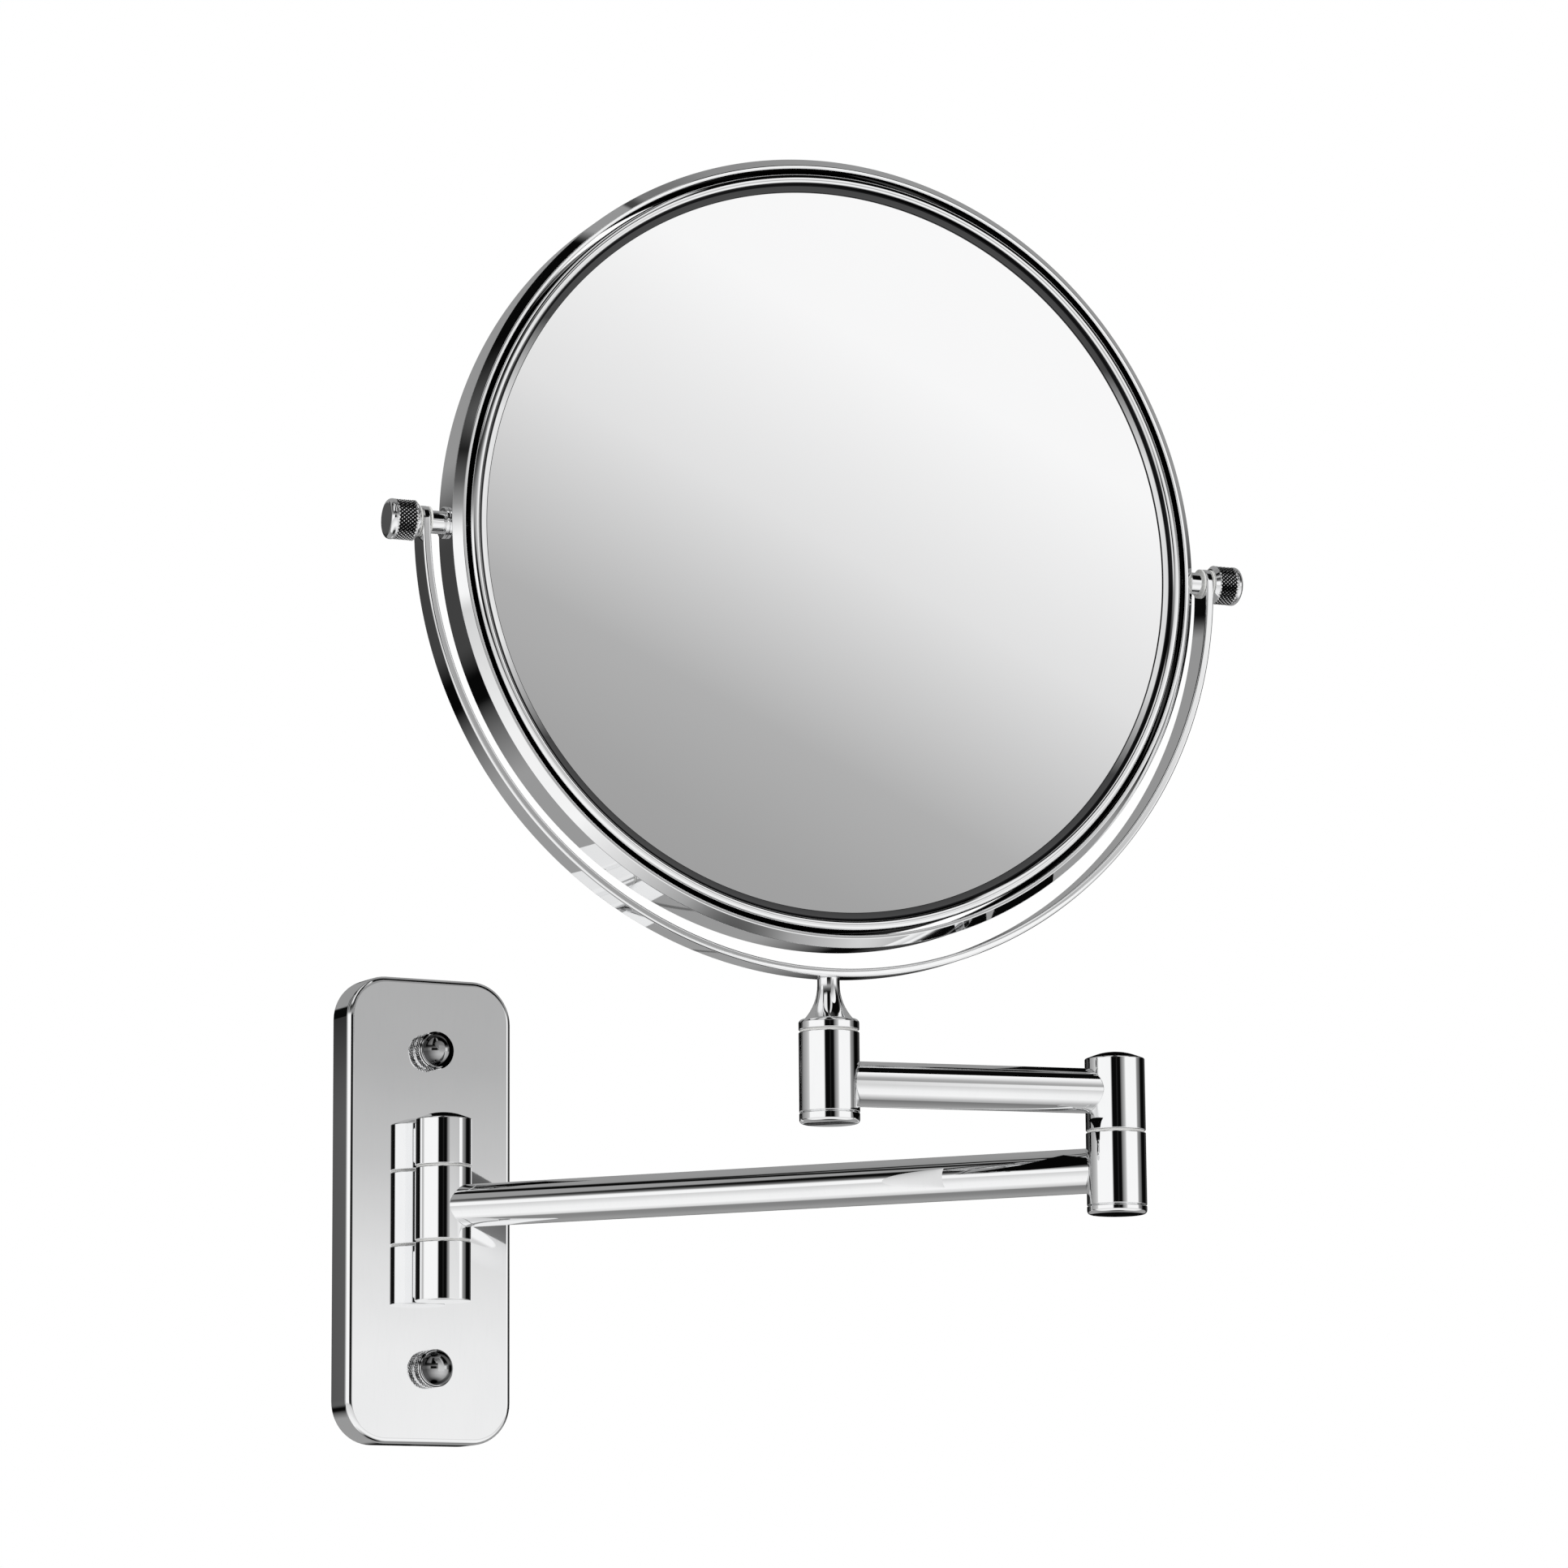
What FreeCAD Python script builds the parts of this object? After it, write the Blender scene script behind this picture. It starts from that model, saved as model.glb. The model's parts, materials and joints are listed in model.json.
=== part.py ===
import FreeCAD, Part
import math
import os

# Extendable shaving mirror for a bathroom wall: a wall plate, two swinging arms and a round
# two-sided mirror that tilts in a yoke.
#
# Frame, in millimetres: the origin is the centre of the face that lies on the wall. +X points to the
# right for someone facing the wall, +Y points into the wall and +Z points up. The lower arm's axis is at
# z = 0. Each piece is modelled where it is easy to describe and is then placed at its hinge or centre.

# ---- clearances -------------------------------------------------------------------------------------
running_gap = 0.05          # radial, between a pin or spindle and the bore it turns in
seat_gap = 0.02             # radial, between a pressed or screwed piece and its bore
float_gap = 0.05            # axial, between a bush flange or washer and the face that turns on it
thread_gap = 0.05           # radial, between a screw and its thread's bore

# ---- wall plate and what is behind it -----------------------------------------------------------------
plate_width = 51.0
plate_height = 132.0
plate_depth = 11.0
plate_wall = 1.5
plate_corner = 12.0
plate_edge_round = 1.8
bracket_thick = 2.0
bracket_side_gap = 1.0
wall_hole_r = 2.6
wall_hole_spacing = 60.0
stud_r = 2.5
stud_spacing = 90.0
stud_hole_gap = 0.25
stud_engagement = 5.0
nut_r = 5.4
nut_grip = 4.0
nut_dome = 4.0
nut_bore_spare = 0.5
backing_width = 30.0
backing_end_margin = 10.0
backing_thick = 2.0

# ---- barrels, pins and bushes shared by the three upright hinges ---------------------------------------
barrel_r = 8.0
barrel_round = 0.4
barrel_dome = 1.1
barrel_shell = 1.8
seam_gap = 0.6
pin_r = 4.0
bush_wall = 1.0
bush_length = 7.0
flange_inset = 0.35
shelf_height = 4.0
cap_plug = 2.0
cap_groove = 0.3

# ---- retaining screws and wave washers ------------------------------------------------------------------
screw_r = 2.0
screw_head_r = 3.6
screw_head_height = 2.4
screw_grip = 8.0
socket_r = 1.5
socket_depth = 1.3
wave_washer_gap = 0.8
wave_washer_thick = 0.8

# ---- wall hinge -------------------------------------------------------------------------------------------
wall_barrel_gap = 0.5
knuckle_above = 11.1
knuckle_below = 9.4
upper_wall_barrel_height = 14.0
lower_wall_barrel_height = 16.6
wall_foot_width = 9.0
wall_foot_margin = 1.5
wall_pin_margin = 3.0
plug_height = 2.0
wall_screw_wall = 0.7

# ---- arms ---------------------------------------------------------------------------------------------------
arm_r = 6.0
arm_wall = 1.2
spigot_length = 10.0
lower_arm_length = 205.0
upper_arm_length = 80.0
lower_arm_angle = 54.5
upper_arm_angle = 191.2

# ---- elbow ------------------------------------------------------------------------------------------------
lower_elbow_above = 9.7
lower_elbow_below = 9.6
upper_elbow_above = 9.5
upper_elbow_below = 10.5
elbow_cap_height = 2.4
elbow_pin_margin = 6.0

# ---- head barrel and yoke stem --------------------------------------------------------------------------
head_above = 13.4
head_below = 7.7
head_cap_height = 3.0
collar_height = 2.8
collar_round = 0.6
spindle_in_collar = 3.2
flare_r = 5.7
stem_r = 2.95
stem_height = 11.0
stem_neck = 1.6

# ---- yoke -----------------------------------------------------------------------------------------------------
head_turn = -6.0
yoke_gap = 5.2
yoke_thick = 2.2
yoke_width = 8.0
yoke_round = 0.6

# ---- mirror head ------------------------------------------------------------------------------------------
glass_r = 101.5
glass_thick = 2.0
glass_face = 5.8
dish_depth = 5.5
lip_overlap = 4.0
lip_thick = 0.3
bezel_bead = 2.1
glass_side_gap = 0.25
skirt_wall = 0.8
skirt_end = 1.2
rim_seam = 0.25
rim_bead = 2.0
rim_wall = 1.2
spacer_width = 2.5
spacer_clear = 0.15
pad_gap = 0.3
pad_side_gap = 0.5

# ---- pivots and knobs --------------------------------------------------------------------------------------
pivot_tail_r = 1.5
pivot_tail_spare = 0.4
pivot_nut_flats = 5.5
pivot_nut_thick = 1.8
pivot_flange_r = 4.2
pivot_flange_thick = 1.0
pivot_neck_r = 3.0
pivot_stud_r = 2.0
pivot_stud_engagement = 6.0
washer_r = 4.0
washer_thick = 0.45
knob_r = 5.3
knob_length = 8.2
knob_round = 1.5
knob_chamfer = 0.9
knob_bore_spare = 0.5

# ---- worked out from the sizes above -----------------------------------------------------------------------
hinge_reach = plate_depth + wall_barrel_gap + barrel_r
flange_thick = seam_gap - float_gap
bush_bore_r = pin_r + running_gap
bush_r = bush_bore_r + bush_wall
pocket_r = barrel_r - barrel_shell
flange_r = barrel_r - flange_inset
spigot_r = arm_r - arm_wall - seat_gap
wave_washer_r = pocket_r - wave_washer_gap

upper_wall_seam = knuckle_above + seam_gap
lower_wall_seam = -knuckle_below - seam_gap
elbow_seam = lower_elbow_above + seam_gap
upper_arm_height = elbow_seam + upper_elbow_below
elbow_top = upper_arm_height + upper_elbow_above
head_top = upper_arm_height + head_above
head_bottom = upper_arm_height - head_below
head_seam = head_top + seam_gap

skirt_inner_r = glass_r + glass_side_gap
skirt_r = skirt_inner_r + skirt_wall
rim_bead_r = skirt_r + rim_seam + rim_bead
rim_r = rim_bead_r + rim_bead
yoke_inner_r = rim_r + yoke_gap
yoke_outer_r = yoke_inner_r + yoke_thick
mirror_height = head_seam + collar_height + stem_height + yoke_outer_r
dish_r = (glass_r ** 2 + dish_depth ** 2) / (2 * dish_depth)

knob_face = yoke_outer_r + float_gap + washer_thick + float_gap
knob_end = knob_face + knob_length

UP = FreeCAD.Vector(0, 0, 1)
ORIGIN = FreeCAD.Vector(0, 0, 0)


def heading(angle):
    """The level unit vector at this many degrees from the wall towards the room, starting at +X."""
    a = math.radians(angle)
    return FreeCAD.Vector(math.cos(a), -math.sin(a), 0)


wall_axis = FreeCAD.Vector(0, -hinge_reach, 0)
elbow_axis = wall_axis + heading(lower_arm_angle) * lower_arm_length
head_axis = elbow_axis + heading(upper_arm_angle) * upper_arm_length
mirror_centre = head_axis + UP * mirror_height


# ---- making and placing shapes -------------------------------------------------------------------------
def section_point(p):
    return FreeCAD.Vector(p[0], 0, p[1])


def lathe(start, *steps):
    """Turn an outline of (radius, height) points round the Z axis.

    A step is the next corner, or a pair (point on the way, end) for an arc.
    """
    edges = []
    here = start
    for step in steps + (start,):
        if isinstance(step[0], tuple):
            arc = Part.Arc(section_point(here), section_point(step[0]), section_point(step[1]))
            edges.append(arc.toShape())
            here = step[1]
        elif step != here:
            edges.append(Part.makeLine(section_point(here), section_point(step)))
            here = step
    solid = Part.Face(Part.Wire(edges)).revolve(ORIGIN, UP, 360)
    return Part.Solid(solid.Shells[0])


def rounded(corner_r, corner_z, size, side, rising):
    """The arc over an edge at (corner_r, corner_z).

    side is +1 for an outer edge and -1 for an inner one. rising is +1 for an edge at the top of a piece
    and -1 at the bottom. The arc runs from the side wall to the end face.
    """
    near = size * (1 - math.sqrt(0.5))
    via = (corner_r - side * near, corner_z - rising * near)
    end = (corner_r - side * size, corner_z)
    return (via, end)


def dome(radius, base, rise):
    """The arc from (radius, base) up to the axis at base + rise, level at its top."""
    sphere = (radius ** 2 + rise ** 2) / (2 * rise)
    half = radius / 2
    bow = math.copysign(math.sqrt(sphere ** 2 - half ** 2), rise)
    via = (half, base + rise - sphere + bow)
    return (via, (0, base + rise))


def cylinder(radius, low, high):
    return Part.makeCylinder(radius, high - low, FreeCAD.Vector(0, 0, low))


def ring(inner, outer, low, high):
    return cylinder(outer, low, high).cut(cylinder(inner, low, high))


def rod(radius, start, length, height=0.0):
    """A round bar along +X at this height, from x = start."""
    return Part.makeCylinder(radius, length, FreeCAD.Vector(start, 0, height), FreeCAD.Vector(1, 0, 0))


def hexagon(flats, low, high):
    corner = flats / math.sqrt(3)
    points = [
        FreeCAD.Vector(corner * math.cos(math.radians(60 * i)), corner * math.sin(math.radians(60 * i)), low)
        for i in range(7)
    ]
    return Part.Face(Part.makePolygon(points)).extrude(UP * (high - low))


def placed(shape, at, angle=0.0):
    """A copy turned by this many degrees from the wall towards the room, and moved to a point."""
    copy = shape.copy()
    copy.rotate(ORIGIN, UP, -angle)
    copy.translate(at)
    return copy


def at_mirror(shape):
    """From the mirror's own frame, with its front at -Y, to its place in the yoke."""
    return placed(shape, mirror_centre, -head_turn)


def facing_front(shape):
    """From a shape turned round Z, with its front at +Z, to the mirror's place."""
    copy = shape.copy()
    copy.rotate(ORIGIN, FreeCAD.Vector(1, 0, 0), 90)
    return at_mirror(copy)


def facing_rear(shape):
    copy = shape.copy()
    copy.rotate(ORIGIN, FreeCAD.Vector(1, 0, 0), -90)
    return at_mirror(copy)


def on_pivot(shape, side):
    """From a shape turned round Z, pointing outwards along +Z, to the pivot on one side of the mirror."""
    copy = shape.copy()
    copy.rotate(ORIGIN, FreeCAD.Vector(0, 1, 0), 90 * side)
    return at_mirror(copy)


def off_wall(shape, x, z):
    """From a shape turned round Z, with +Z out into the room, to a place on the wall plate."""
    copy = shape.copy()
    copy.rotate(ORIGIN, FreeCAD.Vector(1, 0, 0), 90)
    copy.translate(FreeCAD.Vector(x, 0, z))
    return copy


def rounded_slab(width, height, front, back, corner):
    """An upright slab with rounded corners, between two distances from the wall."""
    slab = Part.makeBox(width, front - back, height, FreeCAD.Vector(-width / 2, -front, -height / 2))
    upright = [e for e in slab.Edges if abs(e.tangentAt(e.FirstParameter).y) > 0.9]
    return slab.makeFillet(corner, upright)


# ---- wall plate --------------------------------------------------------------------------------------------
stud_heights = (stud_spacing / 2, -stud_spacing / 2)
upper_wall_screw = upper_wall_seam + upper_wall_barrel_height / 2
lower_wall_screw = lower_wall_seam - lower_wall_barrel_height / 2
wall_screw_heights = (upper_wall_screw, lower_wall_screw)
plate_inside = plate_depth - plate_wall
screw_hole_r = screw_r + thread_gap


def wall_bracket():
    """A flat steel strip that is screwed to the wall inside the plate and carries two studs."""
    narrowing = 2 * (plate_wall + bracket_side_gap)
    corner = plate_corner - plate_wall - bracket_side_gap
    width = plate_width - narrowing
    height = plate_height - narrowing
    strip = rounded_slab(width, height, bracket_thick, 0, corner)
    for z in (wall_hole_spacing / 2, -wall_hole_spacing / 2):
        strip = strip.cut(off_wall(cylinder(wall_hole_r, 0, bracket_thick), 0, z))
    for z in stud_heights:
        strip = strip.cut(off_wall(cylinder(stud_r + seat_gap, 0, bracket_thick), 0, z))
    return strip


def plate_stud(z):
    return off_wall(cylinder(stud_r, 0, plate_depth + stud_engagement), 0, z)


def cover_plate():
    """The bright shell, open at the wall, with holes for the studs and the hinge's screws."""
    outside = rounded_slab(plate_width, plate_height, plate_depth, 0, plate_corner)
    front = [e for e in outside.Edges if abs(e.BoundBox.YMax + plate_depth) < 1e-6]
    outside = outside.makeFillet(plate_edge_round, front)
    shrink = 2 * plate_wall
    inside = rounded_slab(
        plate_width - shrink, plate_height - shrink, plate_inside, 0, plate_corner - plate_wall
    )
    shell = outside.cut(inside)
    for z in stud_heights:
        shell = shell.cut(off_wall(cylinder(stud_r + stud_hole_gap, 0, plate_depth), 0, z))
    for z in wall_screw_heights:
        shell = shell.cut(off_wall(cylinder(screw_hole_r, 0, plate_depth), 0, z))
    return shell


def backing_plate():
    """A stiffener behind the plate's face, which spreads the load of the hinge's screws."""
    high = upper_wall_screw + backing_end_margin
    low = lower_wall_screw - backing_end_margin
    plate = Part.makeBox(
        backing_width,
        backing_thick,
        high - low,
        FreeCAD.Vector(-backing_width / 2, -plate_inside, low),
    )
    for z in wall_screw_heights:
        plate = plate.cut(off_wall(cylinder(screw_hole_r, 0, plate_depth), 0, z))
    return plate


def cap_nut(z):
    """A round nut with a domed end, on a stud."""
    grip = plate_depth + nut_grip
    nut = lathe((0, plate_depth), (nut_r, plate_depth), (nut_r, grip), dome(nut_r, grip, nut_dome))
    depth = stud_engagement + nut_bore_spare
    nut = nut.cut(cylinder(stud_r + thread_gap, plate_depth, plate_depth + depth))
    return off_wall(nut, 0, z)


# ---- wall hinge --------------------------------------------------------------------------------------------
def wall_foot(low, high):
    """The flat pad between a fixed barrel and the plate, in the barrel's own frame."""
    depth = hinge_reach - plate_depth
    return Part.makeBox(
        wall_foot_width,
        depth,
        high - low - 2 * wall_foot_margin,
        FreeCAD.Vector(-wall_foot_width / 2, 0, low + wall_foot_margin),
    )


def wall_screw_bore(z):
    """The blind thread that a fixed barrel's screw enters from behind, in the barrel's own frame."""
    depth = hinge_reach - plate_depth - pin_r - wall_screw_wall
    bore = cylinder(screw_hole_r, plate_depth, plate_depth + depth)
    bore = off_wall(bore, 0, z)
    bore.translate(FreeCAD.Vector(0, hinge_reach, 0))
    return bore


wall_pin_top = upper_wall_seam + upper_wall_barrel_height - wall_pin_margin
wall_pin_bottom = lower_wall_seam - lower_wall_barrel_height + plug_height


def upper_wall_barrel():
    low = upper_wall_seam
    edge = low + upper_wall_barrel_height
    barrel = lathe(
        (0, low),
        (barrel_r, low),
        (barrel_r, edge - barrel_round),
        rounded(barrel_r, edge, barrel_round, 1, 1),
        dome(barrel_r - barrel_round, edge, barrel_dome),
    )
    barrel = barrel.fuse(wall_foot(low, edge)).removeSplitter()
    barrel = barrel.cut(cylinder(pin_r + seat_gap, low, wall_pin_top + seat_gap))
    barrel = barrel.cut(wall_screw_bore(upper_wall_screw))
    return placed(barrel, wall_axis)


def lower_wall_barrel():
    high = lower_wall_seam
    edge = high - lower_wall_barrel_height
    barrel = lathe(
        (0, high),
        (barrel_r, high),
        (barrel_r, edge + barrel_round),
        rounded(barrel_r, edge, barrel_round, 1, -1),
        (0, edge),
    )
    barrel = barrel.fuse(wall_foot(edge, high)).removeSplitter()
    barrel = barrel.cut(cylinder(pin_r + seat_gap, edge, high))
    barrel = barrel.cut(wall_screw_bore(lower_wall_screw))
    return placed(barrel, wall_axis)


def wall_hinge_pin():
    return placed(cylinder(pin_r, wall_pin_bottom, wall_pin_top), wall_axis)


def wall_hinge_plug():
    """A pressed disc that closes the lower barrel under the pin."""
    edge = lower_wall_seam - lower_wall_barrel_height
    return placed(cylinder(pin_r, edge, wall_pin_bottom), wall_axis)


def wall_barrel_screw(z):
    """From behind the backing plate into a fixed barrel."""
    head_face = plate_inside - backing_thick
    tip = hinge_reach - pin_r - wall_screw_wall - thread_gap
    screw = cylinder(screw_head_r, head_face - screw_head_height, head_face)
    screw = screw.fuse(cylinder(screw_r, head_face, tip)).removeSplitter()
    start = head_face - screw_head_height
    return off_wall(screw.cut(hexagon(2 * socket_r, start, start + socket_depth)), 0, z)


def flanged_bush(face, side):
    """A nylon bush let into a barrel's end: its flange is the thin line at the seam.

    face is the height of the barrel's end, and side is +1 where the flange is above it.
    """
    tail = face - side * bush_length
    crown = face + side * flange_thick
    return lathe(
        (bush_bore_r, tail),
        (bush_r, tail),
        (bush_r, face),
        (flange_r, face),
        (flange_r, crown),
        (bush_bore_r, crown),
    )


# ---- arms ----------------------------------------------------------------------------------------------------
def arm_spigot(height, way):
    """The stub that an arm's tube slides over. way is +1 along +X and -1 along -X."""
    stub = rod(spigot_r, 0, barrel_r + spigot_length, height)
    if way < 0:
        stub.rotate(ORIGIN, UP, 180)
    return stub


def arm_tube(length, height):
    """A tube along +X between two barrels, with both ends shaped to the barrels."""
    tube = rod(arm_r, 0, length, height).cut(rod(arm_r - arm_wall, 0, length, height))
    for x in (0, length):
        post = cylinder(barrel_r, height - 2 * arm_r, height + 2 * arm_r)
        post.translate(FreeCAD.Vector(x, 0, 0))
        tube = tube.cut(post)
    return tube


def arm_knuckle():
    """The middle barrel of the wall hinge, with the lower arm's spigot."""
    low = -knuckle_below
    high = knuckle_above
    knuckle = cylinder(barrel_r, low, high).fuse(arm_spigot(0, 1)).removeSplitter()
    knuckle = knuckle.cut(cylinder(bush_r + seat_gap, low, high))
    return placed(knuckle, wall_axis, lower_arm_angle)


def lower_arm_tube():
    return placed(arm_tube(lower_arm_length, 0), wall_axis, lower_arm_angle)


def shelf_barrel(low, high, arm_height):
    """A barrel whose spindle hangs on a shelf: a bush above, and below it a pocket for washer and screw."""
    barrel = cylinder(barrel_r, low, high).fuse(arm_spigot(arm_height, -1)).removeSplitter()
    bush_floor = high - bush_length - seat_gap
    shelf_floor = bush_floor - shelf_height
    barrel = barrel.cut(cylinder(bush_r + seat_gap, bush_floor, high))
    barrel = barrel.cut(cylinder(pin_r + running_gap, shelf_floor, bush_floor))
    return barrel.cut(cylinder(pocket_r, low, shelf_floor))


def shelf_under(high):
    """The height of the underside of the shelf in a barrel whose top is at this height."""
    return high - bush_length - seat_gap - shelf_height


def end_cap(low, height):
    """A turned cap with a groove where it meets the barrel and a plug that is pressed into the pocket."""
    high = low + height
    return lathe(
        (0, low),
        (barrel_r - barrel_round, low),
        ((barrel_r - barrel_round * (1 - math.sqrt(0.5)), low + barrel_round * (1 - math.sqrt(0.5))),
         (barrel_r, low + barrel_round)),
        (barrel_r, high - cap_groove),
        (barrel_r - cap_groove, high - cap_groove),
        (barrel_r - cap_groove, high),
        (pocket_r - seat_gap, high),
        (pocket_r - seat_gap, high + cap_plug),
        (0, high + cap_plug),
    )


def lower_elbow_barrel():
    barrel = shelf_barrel(-lower_elbow_below, lower_elbow_above, 0)
    return placed(barrel, elbow_axis, lower_arm_angle)


def upper_elbow_barrel():
    """The domed barrel above the elbow's seam, with the upper arm's spigot."""
    edge = elbow_top
    barrel = lathe(
        (0, elbow_seam),
        (barrel_r, elbow_seam),
        (barrel_r, edge - barrel_round),
        rounded(barrel_r, edge, barrel_round, 1, 1),
        dome(barrel_r - barrel_round, edge, barrel_dome),
    )
    barrel = barrel.fuse(arm_spigot(upper_arm_height, 1)).removeSplitter()
    barrel = barrel.cut(cylinder(pin_r + seat_gap, elbow_seam, edge - elbow_pin_margin + seat_gap))
    return placed(barrel, elbow_axis, upper_arm_angle)


def upper_arm_tube():
    return placed(arm_tube(upper_arm_length, upper_arm_height), elbow_axis, upper_arm_angle)


def head_barrel():
    return placed(shelf_barrel(head_bottom, head_top, upper_arm_height), head_axis, upper_arm_angle)


def spindle(low, high):
    """A pin with a threaded hole in its lower end for the retaining screw."""
    return cylinder(pin_r, low, high).cut(cylinder(screw_hole_r, low, low + screw_grip))


def wave_washer(top):
    return ring(screw_hole_r, wave_washer_r, top - wave_washer_thick, top)


def retaining_screw(top):
    """Holds a spindle down by a wave washer. top is the height of the underside of the shelf."""
    head_face = top - wave_washer_thick
    screw = cylinder(screw_head_r, head_face - screw_head_height, head_face)
    screw = screw.fuse(cylinder(screw_r, head_face, top + screw_grip - thread_gap)).removeSplitter()
    start = head_face - screw_head_height
    return screw.cut(hexagon(2 * socket_r, start, start + socket_depth))


# ---- yoke ------------------------------------------------------------------------------------------------------
def yoke_stem():
    """A collar on the head barrel that flares in to a thin neck under the yoke."""
    foot = head_seam
    shoulder = foot + collar_height
    neck_top = shoulder + stem_height - stem_neck
    radius = ((flare_r - stem_r) ** 2 + (neck_top - shoulder) ** 2) / (2 * (flare_r - stem_r))
    middle = (shoulder + neck_top) / 2
    inset = radius - math.sqrt(radius ** 2 - (neck_top - middle) ** 2)
    stem = lathe(
        (0, foot),
        (barrel_r, foot),
        (barrel_r, shoulder - collar_round),
        rounded(barrel_r, shoulder, collar_round, 1, 1),
        (flare_r, shoulder),
        ((stem_r + inset, middle), (stem_r, neck_top)),
        (stem_r, shoulder + stem_height + yoke_thick),
        (0, shoulder + stem_height + yoke_thick),
    )
    stem = stem.cut(cylinder(pin_r + seat_gap, foot, foot + spindle_in_collar))
    stem = placed(stem, head_axis)
    band_space = facing_front(cylinder(yoke_outer_r, -yoke_width, yoke_width))
    return stem.cut(band_space)


def head_spindle():
    return placed(spindle(shelf_under(head_top), head_seam + spindle_in_collar), head_axis)


def yoke_band():
    """A flat strip bent to a half circle under the mirror, with round ends about the pivots."""
    half = yoke_width / 2
    low = yoke_inner_r
    high = yoke_outer_r
    soft = yoke_round
    near = soft * (1 - math.sqrt(0.5))
    strip = lathe(
        (low + soft, -half),
        (high - soft, -half),
        ((high - near, -half + near), (high, -half + soft)),
        (high, half - soft),
        ((high - near, half - near), (high - soft, half)),
        (low + soft, half),
        ((low + near, half - near), (low, half - soft)),
        (low, -half + soft),
        ((low + near, -half + near), (low + soft, -half)),
    )
    strip.rotate(ORIGIN, FreeCAD.Vector(1, 0, 0), 90)
    reach = 2 * high
    above = Part.makeBox(reach, reach, reach, FreeCAD.Vector(-reach / 2, -reach / 2, 0))
    below = above.copy()
    below.translate(UP * -reach)
    strip = strip.cut(above)
    end = lathe(
        (0, low),
        (half - soft, low),
        ((half - near, low + near), (half, low + soft)),
        (half, high - soft),
        ((half - near, high - near), (half - soft, high)),
        (0, high),
    )
    hole = cylinder(pivot_stud_r + running_gap, low - yoke_thick, high + yoke_thick)
    for side in (-1, 1):
        eye = end.copy()
        eye.rotate(ORIGIN, FreeCAD.Vector(0, 1, 0), 90 * side)
        strip = strip.fuse(eye.cut(below))
    strip = strip.removeSplitter()
    for side in (-1, 1):
        bore = hole.copy()
        bore.rotate(ORIGIN, FreeCAD.Vector(0, 1, 0), 90 * side)
        strip = strip.cut(bore)
    return at_mirror(strip)


# ---- mirror head -----------------------------------------------------------------------------------------
def rim_band():
    """The drum of the mirror's frame: a thin wall rolled to a bead along each edge."""
    wall_r = rim_r - rim_wall
    drop = math.sqrt(rim_bead ** 2 - (wall_r - rim_bead_r) ** 2)
    inner = rim_bead_r - rim_bead
    slant = rim_bead * math.sqrt(0.5)
    h = glass_face
    band = lathe(
        (rim_r, -h),
        (rim_r, h),
        ((rim_bead_r, h + rim_bead), (inner, h)),
        ((rim_bead_r - slant, h - slant), (wall_r, h - drop)),
        (wall_r, drop - h),
        ((rim_bead_r - slant, slant - h), (inner, -h)),
        ((rim_bead_r, -h - rim_bead), (rim_r, -h)),
    )
    band = facing_front(band)
    hole = cylinder(pivot_tail_r + seat_gap, rim_bead_r - rim_bead, rim_r + rim_wall)
    for side in (-1, 1):
        band = band.cut(on_pivot(hole, side))
    return band


def bezel():
    """A ring with one bead, a thin lip over the glass and a skirt inside the drum, front at +Z."""
    lip_r = glass_r - lip_overlap
    h = glass_face
    crown = skirt_r - bezel_bead
    bead_foot = h + 2 * lip_thick
    return lathe(
        (lip_r, h),
        (lip_r, h + lip_thick),
        (crown - 0.9 * bezel_bead, bead_foot),
        ((crown, h + bezel_bead), (skirt_r, bead_foot)),
        (skirt_r, skirt_end),
        (skirt_inner_r, skirt_end),
        (skirt_inner_r, h),
    )


def plain_glass():
    return facing_front(cylinder(glass_r, glass_face - glass_thick, glass_face))


def dish_height(r, edge_height):
    """The height at radius r of the dish whose edge is at this height and whose middle is higher."""
    rim = math.sqrt(dish_r ** 2 - glass_r ** 2)
    return edge_height + math.sqrt(dish_r ** 2 - r ** 2) - rim


def magnifying_glass():
    """A glass of even thickness, dished away from the rear."""
    back = -glass_face
    inner = back + glass_thick
    half = glass_r / 2
    glass = lathe(
        (0, dish_height(0, back)),
        ((half, dish_height(half, back)), (glass_r, back)),
        (glass_r, inner),
        ((half, dish_height(half, inner)), (0, dish_height(0, inner))),
    )
    return facing_front(glass)


def spacer_ring():
    """Holds the two glasses apart at their edges."""
    inner = glass_r - spacer_width
    low = dish_height(inner, glass_thick - glass_face) + spacer_clear
    return facing_front(ring(inner, glass_r, low, glass_face - glass_thick))


def backing_pad():
    """A foam disc that fills the space between the two glasses."""
    outer = glass_r - spacer_width - pad_side_gap
    face = glass_face - glass_thick
    edge = glass_thick - glass_face + pad_gap
    half = outer / 2
    pad = lathe(
        (0, face),
        (outer, face),
        (outer, dish_height(outer, edge)),
        ((half, dish_height(half, edge)), (0, dish_height(0, edge))),
    )
    return facing_front(pad)


# ---- pivots and knobs ----------------------------------------------------------------------------------------
pivot_nut_face = math.sqrt((rim_r - rim_wall) ** 2 - pivot_nut_flats ** 2 / 3)
pivot_tail_end = pivot_nut_face - pivot_nut_thick - pivot_tail_spare
pivot_shoulder = yoke_inner_r - 2 * float_gap - washer_thick


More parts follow.
